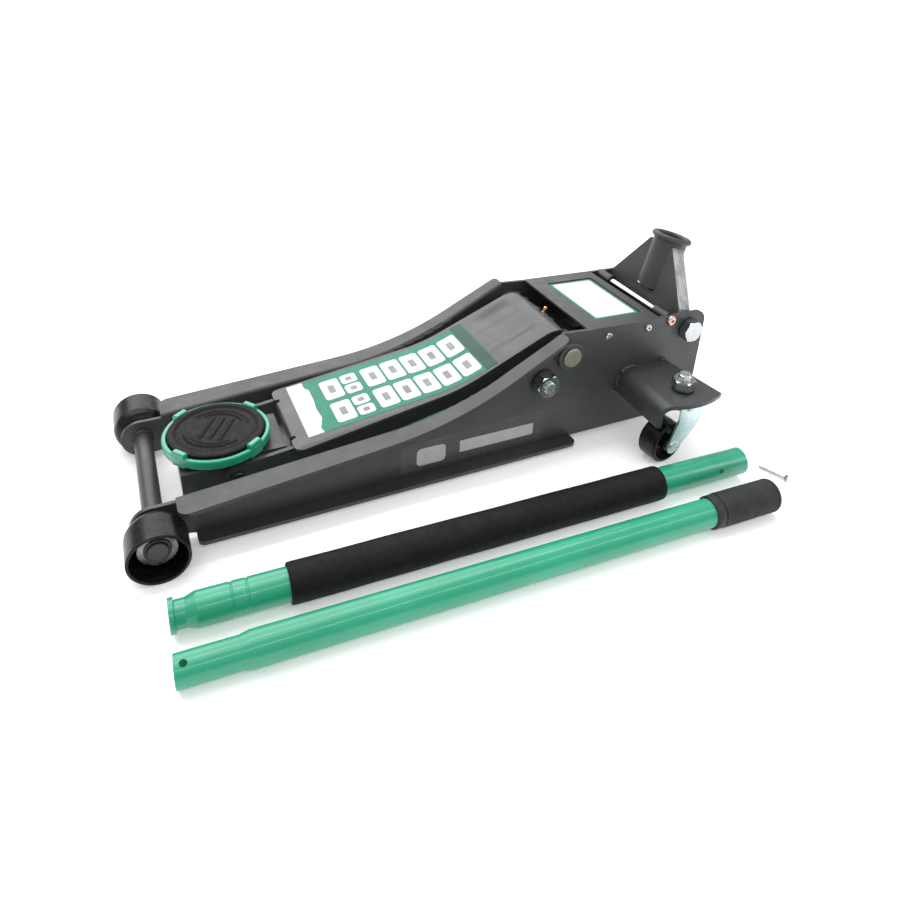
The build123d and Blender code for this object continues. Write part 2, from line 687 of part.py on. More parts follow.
def ram_rod():
    """Ram with its grooved piston."""
    piston = bar_x(BORE_R - FIT, *PISTON, 0, RAM_Z)
    for start in (671.0, 677.5):
        piston -= bar_x(BORE_R + 1, start, start + 3, 0, RAM_Z) - bar_x(BORE_R - 3, start, start + 3, 0, RAM_Z)
    return piston + bar_x(RAM_R, CLEVIS[1], PISTON[0], 0, RAM_Z)


def ram_clevis():
    """Square clevis on the ram; its upright slot lets the lever pin rise and fall."""
    body = block(CLEVIS, (-LEVER_IN + 0.5, LEVER_IN - 0.5), (RAM_Z - 21, RAM_Z + 21))
    body = fillet(body.edges().filter_by(Axis.Y), 5)
    width, height = SLOT
    slot = block(
        (LEVER_PIN[0] - width / 2, LEVER_PIN[0] + width / 2),
        (-LEVER_IN, LEVER_IN),
        (RAM_Z - height / 2, RAM_Z + height / 2),
    )
    return body - slot


# ---- rear cover and tie rod ----------------------------------------------------------------------
def rear_cover():
    """Folded cover over the power unit with a shallow panel for a label."""
    (front, front_z), (rear, rear_z) = REAR_COVER
    half = PLATE_IN - 0.3
    outline = polygon((front, front_z), (rear, rear_z), (rear, REAR_SKIRT), (front, REAR_SKIRT))
    body = slab(outline, -half, half)
    hollow = polygon(
        (front - 1, front_z - REAR_COVER_SHEET),
        (rear + 1, rear_z - REAR_COVER_SHEET),
        (rear + 1, REAR_SKIRT - 1),
        (front - 1, REAR_SKIRT - 1),
    )
    body -= slab(hollow, -half + REAR_COVER_SHEET, half - REAR_COVER_SHEET)
    tilt = degrees(atan2(rear_z - front_z, rear - front))
    middle = ((RECESS[0] + RECESS[1]) / 2, front_z + ((RECESS[0] + RECESS[1]) / 2 - front) * tan(radians(tilt)))
    panel = extrude(RectangleRounded(RECESS[1] - RECESS[0], 2 * RECESS_HALF, 6), 2 * RECESS_DEPTH)
    body -= Pos(middle[0], 0, middle[1] - RECESS_DEPTH) * Rot(0, -tilt, 0) * panel
    for place in COVER_SCREWS:
        body -= bar_y(2.5, -PLATE_IN - 1, PLATE_IN + 1, place)
    return body


def cover_screws():
    """Button-head screws through the side plates into the cover's skirts."""
    screws = []
    for place in COVER_SCREWS:
        head = fillet(bar_y(5.5, -PLATE_OUT - 3, -PLATE_OUT, place).edges().sort_by(Axis.Y)[0], 2)
        head -= outward(hexagon(4.0, PLATE_OUT + 1.2, PLATE_OUT + 5), place)
        screws.append((head + bar_y(2.5, -PLATE_OUT, -PLATE_IN + 5, place)).solid())
    return pair(Compound(children=screws))


def tie_rod():
    rod = bar_y(6.0, -PLATE_IN, PLATE_IN, TIE_ROD)
    for side in (-1, 1):
        low, high = sorted((side * (PLATE_IN - 8), side * (PLATE_IN + 1)))
        rod -= bar_y(4.0, low, high, TIE_ROD)
    return rod


def tie_rod_sleeve():
    return ring_y(9.5, 6.0, -PLATE_IN, -TIE_ROD_BARE, TIE_ROD)


def tie_rod_screw():
    head = fillet(bar_y(7.5, -PLATE_OUT - 4, -PLATE_OUT, TIE_ROD).edges().sort_by(Axis.Y)[0], 3)
    head -= outward(hexagon(5.0, PLATE_OUT + 1.5, PLATE_OUT + 6), TIE_ROD)
    return head + bar_y(4.0, -PLATE_OUT, -PLATE_IN + 8, TIE_ROD)


# ---- handle yoke ---------------------------------------------------------------------------------
def yoke_place():
    """Location that tilts pieces drawn upright about the yoke pivot."""
    tilt = radians(YOKE_TILT)
    origin = (YOKE_PIVOT[0], 0, YOKE_PIVOT[1])
    return Location(Plane(origin=origin, x_dir=(cos(tilt), 0, -sin(tilt)), z_dir=(sin(tilt), 0, cos(tilt))))


def roller_place():
    """Roller axis (x, z) in the yoke's upright frame."""
    tilt = radians(YOKE_TILT)
    dx, dz = ROLLER[0] - YOKE_PIVOT[0], ROLLER[1] - YOKE_PIVOT[1]
    return dx * cos(tilt) - dz * sin(tilt), dx * sin(tilt) + dz * cos(tilt)


def yoke_outline(inset):
    """Front view of the yoke as (y, z), pulled in by inset at its slanted sides."""
    (top_half, top_z), (foot_half, foot_z) = WEB_TOP, WEB_FOOT
    return polygon(
        (-top_half + inset, top_z),
        (top_half - inset, top_z),
        (foot_half - inset, foot_z),
        (foot_half - inset, WEB_BOTTOM),
        (-foot_half + inset, WEB_BOTTOM),
        (-foot_half + inset, foot_z),
    )


def yoke_bracket():
    """Sheet yoke: slanted web, folded cheeks around the pivot and two arms for the pump roller."""
    web = across(yoke_outline(0), WEB_X, WEB_X + WEB_SHEET)
    rim = across(yoke_outline(0), WEB_X, WEB_X + CHEEK_DEPTH)
    rim -= across(yoke_outline(WEB_SHEET), WEB_X - 1, WEB_X + CHEEK_DEPTH + 1)
    cheek = polygon((WEB_X, WEB_BOTTOM), (WEB_X, WEB_FOOT[1]), (WEB_X + CHEEK_DEPTH, WEB_FOOT[1]), (CHEEK_R, 0), (0, -1))
    cheek += disc(CHEEK_R, (0, 0))
    cheek = slab(cheek, -WEB_FOOT[0], -WEB_FOOT[0] + WEB_SHEET)
    body = web + rim + cheek + mirrored(cheek)
    arm = slab(link(9.0, (WEB_X + 9, 20.0), 9.0, roller_place()), PUMP_Y - 14, PUMP_Y - 9)
    body += arm + Pos(0, 23, 0) * arm
    body -= bar_z(SOCKET_R, SOCKET_BOTTOM - 5, 120, SOCKET_X, 0)
    body -= bar_y(PIVOT_BOLT_R + FIT, -90, 90, (0, 0))
    body -= bar_y(4.0 + FIT, 0, 60, roller_place())
    return yoke_place() * body


def handle_socket():
    """Tube with a rolled rim that takes the handle; its thick foot guides the valve driver."""
    tube = bar_z(SOCKET_R, SOCKET_BOTTOM, RIM_Z, SOCKET_X, 0)
    tube += Pos(SOCKET_X, 0, RIM_Z) * Torus(RIM_R, RIM_ROLL)
    tube -= bar_z(SOCKET_BORE, SOCKET_BOTTOM + SOCKET_FOOT, RIM_Z + 8, SOCKET_X, 0)
    tube -= bar_z(DRIVER_R + FIT, SOCKET_BOTTOM - 1, SOCKET_BOTTOM + SOCKET_FOOT + 1, SOCKET_X, 0)
    return yoke_place() * tube


def pump_roller():
    """Roller with the trunnions that sit in the yoke's arms."""
    roller = bar_y(ROLLER_R, PUMP_Y - 8.5, PUMP_Y + 8.5, roller_place())
    return yoke_place() * (roller + bar_y(4.0, PUMP_Y - 16, PUMP_Y + 16, roller_place()))


def valve_driver():
    """Slotted driver at the bottom of the socket, turned by the handle."""
    top = SOCKET_BOTTOM + SOCKET_FOOT
    driver = bar_z(DRIVER_R, SOCKET_BOTTOM - 4, top - 0.3, SOCKET_X, 0)
    driver += bar_z(DRIVER_R + 2, SOCKET_BOTTOM - 4, SOCKET_BOTTOM - GAP, SOCKET_X, 0)
    slot = block((SOCKET_X - 4, SOCKET_X + 4), (-22, 22), (top - 8, top + 1))
    return yoke_place() * (driver - slot + bar_z(6.0, 22.0, SOCKET_BOTTOM - 4, SOCKET_X, 0))


def release_valve():
    """Valve screw in the pump block with the fork of its universal joint on top."""
    x, y = VALVE
    screw = bar_z(5.0, 104.0, 138.0, x, y)
    fork = bar_z(7.0, 138.0, 156.0, x, y) - block((x - 8, x + 8), (y - 3, y + 3), (143.0, 157.0))
    return screw + fork - bar_x(2.0, x - 8, x + 8, y, 150.0)


def pump_plunger():
    cap = bar_x(PLUNGER_CAP_R, ROLLER[0] - ROLLER_R - 5.0, ROLLER[0] - ROLLER_R - 0.9, PUMP_Y, PLUNGER_Z)
    return cap + bar_x(PLUNGER_R, 670.0, ROLLER[0] - ROLLER_R - 5.0, PUMP_Y, PLUNGER_Z)


# ---- casters -------------------------------------------------------------------------------------
def caster_bracket():
    """Thick plate welded to the side plate; the lip folded down along its front edge tapers to the tip."""
    bend, sheet, top = BRACKET_BEND, BRACKET_SHEET, BRACKET_Z
    lip_root, lip_tip = BRACKET_LIP
    profile = polygon(
        (-110, top),
        (bend, top),
        (bend, lip_root),
        (bend - sheet, lip_root),
        (bend - sheet, top - sheet),
        (-110, top - sheet),
    )
    profile = rounded(profile, (bend, top, bend), (bend - sheet, top - sheet, bend - sheet))
    along = Vector(BRACKET_TIP[0] - BRACKET_ROOT[0], PLATE_OUT - BRACKET_OUT, 0).normalized()
    front = Vector(along.Y, -along.X, 0)
    start = Vector(BRACKET_ROOT[0], -PLATE_OUT, 0) - along * 40
    sweep_plane = Plane(origin=start, x_dir=front, z_dir=front.cross(Vector(0, 0, 1)))
    length = 190 if sweep_plane.z_dir.dot(along) > 0 else -190
    folded = extrude(sweep_plane * profile, length)
    corner_in, corner_out = (590.0, -BRACKET_OUT + 25), (BRACKET_TIP[1], -BRACKET_OUT + 9)
    outer = ThreePointArc(corner_in, (657.0, -BRACKET_OUT), corner_out)
    sides = Polyline(corner_out, (BRACKET_ROOT[1], -PLATE_OUT), (corner_in[0], -PLATE_OUT), corner_in)
    body = folded & plate(make_face([*outer.edges(), *sides.edges()]), 0, 200)
    below = Plane(origin=(0, 0, 0), x_dir=(0, -1, 0), z_dir=(1, 0, 0)) * polygon(
        (PLATE_OUT - 1, lip_root), (BRACKET_OUT + 5, lip_tip), (BRACKET_OUT + 5, 0), (PLATE_OUT - 1, 0)
    )
    body -= extrude(below, 800)
    return body - bar_z(STUD_R, 80, 120, *CASTER)


def caster_stud():
    """King pin fixed in the bracket, headed below the swivelling fork."""
    stud = bar_z(STUD_R, 79.0, STUD_TOP, *CASTER) + bar_z(13.0, 75.0, 79.0, *CASTER)
    return chamfer(stud.edges().sort_by(Axis.Z)[-1], 1.5)


def caster_nut():
    return Pos(CASTER[0], CASTER[1], 0) * Rot(0, 0, 12) * hexagon(NUT_FLATS, 105.0, 118.0, STUD_R)


def caster_washer():
    """Spring washer with its cut."""
    washer = ring_z(14.5, STUD_R, BRACKET_Z, 105.0, *CASTER)
    return washer - block((CASTER[0], CASTER[0] + 20), (CASTER[1] - 0.8, CASTER[1] + 0.8), (BRACKET_Z, 105))


def caster_place(low=0.0):
    """Location of pieces drawn about the swivel axis with the wheel trailing along +X."""
    return Pos(CASTER[0], CASTER[1], low) * Rot(0, 0, 180 + CASTER_TURN)


def caster_fork():
    """Swivel crown, two legs and the riveted wheel axle."""
    crown = ring_z(25.0, STUD_R + FIT, 82.0, 91.6, 0, 0) - ring_z(21.5, STUD_R, 75.0, 88.0, 0, 0)
    outline = link(11.0, (CASTER_TRAIL, CASTER_R), 21.0, (1.0, 66.0)) + polygon((-20, 66), (22, 66), (22, 89), (-22, 89))
    legs = slab(outline, -FORK_HALF, -FORK_HALF + FORK_SHEET)
    legs += mirrored(legs)
    bridge = block((-22, 22), (-FORK_HALF, FORK_HALF), (88.0, 91.6)) - bar_z(STUD_R + FIT, 80, 100, 0, 0)
    fork = crown + legs + bridge - bar_z(16.0, 70, 88, 0, 0)
    wheel_axis = (CASTER_TRAIL, CASTER_R)
    fork += bar_y(5.0, -FORK_HALF, FORK_HALF, wheel_axis)
    for side in (-1, 1):
        low, high = sorted((side * FORK_HALF, side * (FORK_HALF + 2.5)))
        fork += fillet(bar_y(9.0, low, high, wheel_axis).edges().sort_by(Axis.Y)[0 if side < 0 else -1], 2)
    return caster_place() * fork


def caster_wheel():
    """Plastic wheel dished on both sides between its hub and its tread."""
    place = (CASTER_TRAIL, CASTER_R)
    wheel = fillet(bar_y(CASTER_R, -CASTER_HALF, CASTER_HALF, place).edges(), 3)
    for side in (-1, 1):
        low, high = sorted((side * 4, side * (CASTER_HALF + 1)))
        wheel -= ring_y(CASTER_R - 5, 11.0, low, high, place)
    return caster_place() * (wheel - bar_y(5.0 + FIT, -20, 20, place))


# ---- handle --------------------------------------------------------------------------------------
def along_line(start, end):
    """Location whose Z axis runs from start to end; its Y axis is as near upright as it can be."""
    direction = Vector(*end) - Vector(*start)
    side = direction.cross(Vector(0, 0, 1))
    return Location(Plane(origin=start, x_dir=side, z_dir=direction))


def line_length(start, end):
    return (Vector(*end) - Vector(*start)).length


def lower_handle_tube():
    """Tube that fits the socket: end flange, neck, swage and a threaded joint at the other end."""
    length = line_length(*LOWER_HANDLE)
    inner = TUBE_R - TUBE_WALL
    profile = polygon(
        (10.0, 0),
        (17.5, 0),
        (17.5, 4.5),
        (14.5, 5.5),
        (14.5, 15),
        (TUBE_R, 25),
        (TUBE_R, length),
        (JOINT_BORE, length),
        (JOINT_BORE, length - JOINT_DEPTH),
        (inner, length - JOINT_DEPTH),
        (inner, 26),
        (12.0, 16),
        (10.0, 16),
    )
    tube = revolve(Plane.XZ * profile, Axis.Z)
    for groove in (58.0, 73.0):
        tube -= Pos(0, 0, groove) * Torus(TUBE_R + 0.6, 1.4)
    tube -= Pos(0, 0, length - 45) * Rot(0, 0, -20) * Rot(0, 90, 0) * Cylinder(3.0, 60)
    return along_line(*LOWER_HANDLE) * tube


def foam_sleeve():
    start, end = FOAM_SPAN
    sleeve = Pos(0, 0, (start + end) / 2) * (Cylinder(TUBE_R + FOAM, end - start) - Cylinder(TUBE_R, end - start))
    rims = sleeve.edges().filter_by(GeomType.CIRCLE).sort_by(SortBy.RADIUS)[-2:]
    return along_line(*LOWER_HANDLE) * fillet(rims, 2.5)


def upper_handle_tube():
    length = line_length(*UPPER_HANDLE)
    wall = TUBE_WALL
    profile = polygon(
        (SWAGED_R - wall, 0),
        (SWAGED_R, 0),
        (SWAGED_R, SHOULDER),
        (TUBE_R, SHOULDER + SWAGE),
        (TUBE_R, length - 4),
        (TUBE_R - wall, length - 4),
        (TUBE_R - wall, SHOULDER + SWAGE),
        (SWAGED_R - wall, SHOULDER),
    )
    tube = revolve(Plane.XZ * profile, Axis.Z)
    tube -= Pos(0, 0, 8.5) * Rot(0, 0, -70) * Rot(0, 90, 0) * Cylinder(3.6, 60)
    return along_line(*UPPER_HANDLE) * tube


def handle_grip():
    """Grip with a smooth collar, shallow knurling grooves and a closed rounded end."""
    length = line_length(*UPPER_HANDLE)
    profile = polygon((0, length - 4), (TUBE_R, length - 4), (TUBE_R, GRIP_START), (GRIP_R, GRIP_START), (GRIP_R, length), (0, length))
    profile = rounded(profile, (GRIP_R, length, 8), (GRIP_R, GRIP_START, 2))
    grip = revolve(Plane.XZ * profile, Axis.Z)
    groove = Pos(0, 0, GRIP_START + GRIP_COLLAR) * Torus(GRIP_R + 0.6, 1.2)
    return along_line(*UPPER_HANDLE) * (grip - groove)


def handle_bolt():
    """Bolt that joins the handle pieces, lying loose on the floor."""
    length = line_length(*HANDLE_BOLT)
    bolt = hexagon(7.6, 0, 4.0) + Pos(0, 0, 4 + (length - 4) / 2) * Cylinder(2.5, length - 4)
    return along_line(*HANDLE_BOLT) * bolt


# ---- nodes ---------------------------------------------------------------------------------------
MIRRORED_NODES = {
    "side_plate": side_plate,
    "front_wheel": front_wheel,
    "caster_fork": caster_fork,
    "caster_wheel": caster_wheel,
}

PAIRED_NODES = {
    "radius_rods": radius_rod,
    "caster_brackets": caster_bracket,
    "axle_washers": axle_washer,
    "axle_snap_rings": axle_snap_ring,
    "arm_side_bars": arm_bar,
    "saddle_pins": saddle_pin,
    "arm_levers": arm_lever,
    "pivot_bosses": pivot_boss,
    "rod_pivot_studs": rod_stud,
    "rod_pivot_washers": rod_washer,
    "rod_pivot_nuts": rod_nut,
    "yoke_pivot_bolts": yoke_bolt,
    "yoke_pivot_washers": yoke_washer,
    "tie_rod_sleeves": tie_rod_sleeve,
    "tie_rod_screws": tie_rod_screw,
    "caster_studs": caster_stud,
    "caster_nuts": caster_nut,
    "caster_spring_washers": caster_washer,
}

SINGLE_NODES = {
    "front_axle": front_axle,
    "saddle_cup": saddle_cup,
    "saddle_pad": saddle_pad,
    "saddle_stem_clip": stem_clip,
    "saddle_bracket": saddle_bracket,
    "rod_pin": rod_pin,
    "arm_cover": arm_cover,
    "arm_hub": arm_hub,
    "arm_cross_tubes": arm_cross_tubes,
    "grease_nipple": grease_nipple,
    "lever_pin": lever_pin,
    "pivot_shaft": pivot_shaft,
    "cylinder_support": cylinder_support,
    "cylinder": cylinder,
    "gland_nut": gland_nut,
    "reservoir": reservoir,
    "filler_plug": filler_plug,
    "pump_block": pump_block,
    "ram_rod": ram_rod,
    "ram_clevis": ram_clevis,
    "rear_cover": rear_cover,
    "cover_screws": cover_screws,
    "tie_rod": tie_rod,
    "yoke_bracket": yoke_bracket,
    "handle_socket": handle_socket,
    "pump_roller": pump_roller,
    "valve_driver": valve_driver,
    "release_valve": release_valve,
    "pump_plunger": pump_plunger,
    "lower_handle_tube": lower_handle_tube,
    "foam_sleeve": foam_sleeve,
    "upper_handle_tube": upper_handle_tube,
    "handle_grip": handle_grip,
    "handle_bolt": handle_bolt,
}


def all_nodes():
    nodes = {name: make() for name, make in SINGLE_NODES.items()}
    for name, make in PAIRED_NODES.items():
        nodes[name] = pair(make())
    for name, make in MIRRORED_NODES.items():
        near = make()
        nodes[name + "_near"] = near
        nodes[name + "_far"] = mirrored(near)
    return nodes


os.makedirs("parts", exist_ok=True)
to_centre = Pos(-STAND_CENTRE[0], -STAND_CENTRE[1], 0)
for name, shape in all_nodes().items():
    export_step(to_centre * shape, f"parts/{name}.step")
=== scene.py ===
import math

import bmesh
import bpy
from mathutils import Matrix, Vector, noise


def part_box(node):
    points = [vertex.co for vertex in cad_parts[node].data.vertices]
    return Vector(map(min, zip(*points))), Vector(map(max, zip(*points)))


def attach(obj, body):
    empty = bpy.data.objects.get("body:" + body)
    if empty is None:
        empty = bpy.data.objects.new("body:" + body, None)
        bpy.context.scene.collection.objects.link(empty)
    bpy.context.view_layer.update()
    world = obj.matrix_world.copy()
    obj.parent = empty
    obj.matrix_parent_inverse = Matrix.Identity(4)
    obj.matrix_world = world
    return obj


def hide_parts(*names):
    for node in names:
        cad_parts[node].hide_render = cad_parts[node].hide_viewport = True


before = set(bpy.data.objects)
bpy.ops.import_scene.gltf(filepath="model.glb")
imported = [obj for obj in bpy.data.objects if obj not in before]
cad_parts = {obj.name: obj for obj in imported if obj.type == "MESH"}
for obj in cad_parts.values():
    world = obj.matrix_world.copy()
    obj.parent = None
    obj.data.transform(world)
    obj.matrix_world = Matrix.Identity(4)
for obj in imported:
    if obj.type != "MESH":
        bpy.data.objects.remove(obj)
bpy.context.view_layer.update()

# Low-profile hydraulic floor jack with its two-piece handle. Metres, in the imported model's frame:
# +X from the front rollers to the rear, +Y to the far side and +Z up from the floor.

MM = 0.001

# ---- drawing dimensions, in millimetres ----------------------------------------------------------
STAND_CENTRE = (369.0, -68.0)
PLATE_OUT = 89.0
ARM_PIVOT = (522.0, 142.0)
COVER_PROFILE = ((160.0, 74.0), (374.0, 109.0), (510.0, 170.0), (531.0, 165.5))
COVER_BENDS = (60.0, 23.0)  # length over which each bend of the profile is spread
COVER_HALF = 71.5
COVER_SHEET = 4.0
APRON_HALF = 40.0           # the lip folded down at the front of the arm cover
APRON_LOW = 42.0
APRON_BEND = 5.0
EAR_INNER = 47.0            # the cover's two front ears start here, beyond a relief notch
EAR_NOTCH = 6.0
EAR_CORNER = 11.0           # corner radii of the cover, front and rear
REAR_CORNER = 8.0
DISH_DEPTH = 2.4            # shallow pressing at the rear of the arm cover, and its two faint ribs
DISH_RIBS = (-28.0, 22.0)
DISH_RIB_HEIGHT = 0.5
LABEL_START = 179.5         # front edge of the label on the arm cover
LABEL_LENGTH = 250.0
LABEL_HALF = 60.0
LABEL_STRIP = 234.0         # front edge of the label's dark rear strip
LABEL_ASIDE = 6.0           # the label sits off centre and a little askew
LABEL_SKEW = 0.028
CELL_START = 39.5           # front edge, pitch and length of the label's cells, and their corner radius
CELL_PITCH = 28.0
CELL_LENGTH = 25.0
SHORT_CELL_LENGTH = 21.0
CELL_CORNER = 4.5
REAR_COVER = ((549.3, 174.5), (669.5, 172.4))
REAR_COVER_SINK = 1.5       # the label's recess in the rear cover
UNDERPRINT = 0.25           # how far the three layers of print stand off the metal
OVERPRINT = 0.4
MARK_PRINT = 0.5
SADDLE_X = 81.7
SADDLE_TURN = -6.8
PAD_R = 55.4
PAD_TOP = 83.0
PAD_DEPTH = 15.5
PAD_EDGE = 0.8              # rounding between the tread and the pad's side
PAD_STEPS = 288             # points round each ring of the pad
PAD_RINGS = 47              # rings of the tread
TREAD_HEIGHT = 2.0
TREAD_TURN = 60.0           # degrees the tread's arcs and bars are turned from the jack's length
LUG_WIDTH = 18.0
LUG_IN = 54.0
LUG_GAP = 0.4
LOWER_HANDLE = ((2.0, -211.5, 21.8), (711.0, -240.0, 21.8))
UPPER_HANDLE = ((0.0, -273.3, 17.6), (700.0, -309.7, 21.8))
SLEEVE_BORE_R = 18.1        # inside radius of the foam sleeve and the grip
FOAM_SPAN = (113.0, 576.0)
FOAM_R = 21.8
FOAM_STEP = 6.0
GRIP_START = 600.0
GRIP_R = 21.2
GRIP_CROWN = 7.0            # rounding of the grip's end
KNURL_PITCH = 2.6
KNURL_COLUMNS = 34.0
KNURL_DEPTH = 0.85
KNURL_STEP = 0.65
WELD_STEP = 0.8
WELD_SIDES = 10

# ---- camera and light ----------------------------------------------------------------------------
CAMERA_AT = (-0.35329, -0.71713, 0.61218)
CAMERA_YAW = -28.35         # degrees from looking along +Y
CAMERA_RISE = 25.23         # degrees above the horizon, towards the camera
CAMERA_ROLL = 3.83
CAMERA_LENS = 29.187
CAMERA_SHIFT = (-0.04047, -0.16317)

WORLD_STRENGTH = (0.25, 0.60)  # at the horizon and overhead
SUN_STRENGTH = 2.0
SUN_SPREAD = 70.0           # degrees, wide enough for soft shadows
SUN_FROM = (-0.15, 0.45, 1.0)
WORLD_FADE_TO = 0.6         # height on the sky's unit sphere where the overhead strength is reached
FLOOR_GLOW = 0.24           # the floor is a lit table, which keeps the shadows pale
# name, place in metres, width and height, watts
SOFT_LIGHTS = (
    ("back_softbox", (0.2, 2.2, 1.3), (3.2, 1.2), 24.0),
    ("strip_above", (0.0, 0.25, 1.6), (2.6, 0.07), 7.0),
    ("strip_front", (0.1, -1.1, 1.25), (2.6, 0.08), 6.0),
    ("strip_side", (1.5, -0.9, 0.9), (0.9, 0.5), 5.0),
)
LIGHT_AIM = (0.0, 0.0, 0.05)

# ---- colours (linear) ----------------------------------------------------------------------------
GREY_PAINT = ((0.036, 0.037, 0.038), (0.046, 0.047, 0.048))
GREEN_PAINT = ((0.008, 0.285, 0.155), (0.013, 0.335, 0.190))
# pale streaked grey painted on the yoke's outward faces as a highlight
FLANK_HIGHLIGHT = ((0.16, 0.16, 0.17), (0.42, 0.42, 0.43))
BLACK_PAINT = ((0.010, 0.010, 0.011), (0.018, 0.018, 0.019))
WHEEL_BLACK = ((0.003, 0.003, 0.003), (0.010, 0.010, 0.010))
ZINC = ((0.42, 0.44, 0.45), (0.52, 0.54, 0.55))
WORN_ZINC = ((0.05, 0.05, 0.05), (0.26, 0.26, 0.25))
BLUE_ZINC = ((0.46, 0.58, 0.62), (0.62, 0.71, 0.74))
OLIVE_ZINC = ((0.30, 0.30, 0.23), (0.42, 0.41, 0.32))
BRIGHT_STEEL = ((0.58, 0.57, 0.55), (0.72, 0.71, 0.69))
COPPER = ((0.55, 0.38, 0.32), (0.70, 0.50, 0.42))
BRASS = ((0.70, 0.36, 0.12), (0.85, 0.48, 0.18))
PAD_RUBBER = ((0.004, 0.003, 0.003), (0.008, 0.007, 0.006))
FOAM_BLACK = ((0.004, 0.004, 0.004), (0.009, 0.008, 0.008))
GRIP_BLACK = ((0.020, 0.021, 0.022), (0.034, 0.035, 0.037))
NYLON_BLACK = ((0.005, 0.005, 0.005), (0.010, 0.010, 0.010))
LABEL_WHITE = ((0.66, 0.63, 0.60), (0.72, 0.69, 0.66))
LABEL_GREEN = ((0.010, 0.180, 0.110), (0.016, 0.220, 0.135))
LABEL_DARK = ((0.010, 0.060, 0.045), (0.016, 0.080, 0.060))
LABEL_GREY = ((0.060, 0.061, 0.063), (0.075, 0.076, 0.078))
LABEL_SILVER = ((0.42, 0.42, 0.43), (0.52, 0.52, 0.53))
LABEL_MARK = ((0.20, 0.21, 0.21), (0.28, 0.29, 0.29))
# lighter spots painted on the wheels as mottled highlights
IRON_GLINT = (0.040, 0.038, 0.036)

PAINT_GLOSS = (0.34, 0.50)  # roughness between the smoothest and the dullest places
PAINT_PEEL = 0.10


# ---- materials -----------------------------------------------------------------------------------
class Shader:
    """A procedural material built around one Principled shader, in the object's own coordinates."""

    def __init__(self, name):
        self.material = bpy.data.materials.new(name)
        self.material.use_nodes = True
        self.tree = self.material.node_tree
        self.principled = self.tree.nodes["Principled BSDF"]
        position = self.tree.nodes.new("ShaderNodeTexCoord")
        self.coordinates, self.normals = position.outputs["Object"], position.outputs["Normal"]

    def set(self, **values):
        for socket, value in values.items():
            self.principled.inputs[socket.replace("_", " ")].default_value = value

    def link(self, source, target):
        self.tree.links.new(source, target)

    def stretched(self, scale):
        mapping = self.tree.nodes.new("ShaderNodeMapping")
        mapping.inputs["Scale"].default_value = scale
        self.link(self.coordinates, mapping.inputs["Vector"])
        return mapping.outputs["Vector"]

    def noise(self, scale, detail=3.0, rough=0.55, stretch=None):
        texture = self.tree.nodes.new("ShaderNodeTexNoise")
        texture.inputs["Scale"].default_value = scale
        texture.inputs["Detail"].default_value = detail
        texture.inputs["Roughness"].default_value = rough
        self.link(self.stretched(stretch) if stretch else self.coordinates, texture.inputs["Vector"])
        return texture.outputs["Fac"]

    def split(self, vector, axis):
        node = self.tree.nodes.new("ShaderNodeSeparateXYZ")
        self.link(vector, node.inputs["Vector"])
        return node.outputs[axis]

    def math(self, operation, first, second):
        node = self.tree.nodes.new("ShaderNodeMath")
        node.operation = operation
        self.link(first, node.inputs[0])
        if isinstance(second, float):
            node.inputs[1].default_value = second
        else:
            self.link(second, node.inputs[1])
        return node.outputs["Value"]

    def facing_out(self, axis, low, high):
        """Positive where the surface faces away from the middle between low and high along an axis."""
        centred = self.math("SUBTRACT", self.split(self.coordinates, axis), (low + high) / 2)
        share = self.math("DIVIDE", centred, (high - low) / 2)
        return self.math("MULTIPLY", share, self.split(self.normals, axis))

    def bands(self, scale, axis):
        texture = self.tree.nodes.new("ShaderNodeTexWave")
        texture.bands_direction = axis
        texture.inputs["Scale"].default_value = scale
        self.link(self.coordinates, texture.inputs["Vector"])
        return texture.outputs["Fac"]

    def ramp(self, factor, low, high, start=0.3, end=0.7):
        """Map factor between start and end to a value or a colour between low and high."""
        node = self.tree.nodes.new("ShaderNodeMapRange")
        node.inputs["From Min"].default_value = start
        node.inputs["From Max"].default_value = end
        self.link(factor, node.inputs["Value"])
        if not isinstance(low, tuple):
            node.inputs["To Min"].default_value = low
            node.inputs["To Max"].default_value = high
            return node.outputs["Result"]
        return self.mix(node.outputs["Result"], low, high)

    def mix(self, factor, low, high):
        """Blend two colours or colour sockets; a Mix node's colours are inputs 6 and 7 and output 2."""
        node = self.tree.nodes.new("ShaderNodeMix")
        node.data_type = "RGBA"
        self.link(factor, node.inputs["Factor"])
        for socket, colour in ((node.inputs[6], low), (node.inputs[7], high)):
            if isinstance(colour, tuple):
                socket.default_value = (*colour[:3], 1.0)
            else:
                self.link(colour, socket)
        return node.outputs[2]

    def colour(self, source):
        self.link(source, self.principled.inputs["Base Color"])

    def roughness(self, source):
        self.link(source, self.principled.inputs["Roughness"])

    def bump(self, height, strength, distance):
        node = self.tree.nodes.new("ShaderNodeBump")
        node.inputs["Strength"].default_value = strength
        node.inputs["Distance"].default_value = distance
        self.link(height, node.inputs["Height"])
        previous = self.principled.inputs["Normal"].links
        if previous:
            self.link(previous[0].from_socket, node.inputs["Normal"])
        self.link(node.outputs["Normal"], self.principled.inputs["Normal"])


def sprayed(shader, colours, roughness, peel):
    """Sprayed film with clouded colour, uneven gloss, orange peel and dust specks; returns its colour."""
    base = shader.ramp(shader.noise(14.0), colours[0], colours[1])
    dust = shader.ramp(shader.noise(900.0, 2.0, 0.7), 0.0, 1.0, 0.70, 0.78)
    light = tuple(min(1.0, channel * 1.8 + 0.01) for channel in colours[1])
    shader.roughness(shader.ramp(shader.noise(45.0, 4.0), roughness[0], roughness[1]))
    shader.bump(shader.noise(650.0, 2.0), peel, 0.0004)
    shader.bump(shader.noise(60.0, 2.0), peel * 0.5, 0.001)
    return shader.mix(dust, base, light)


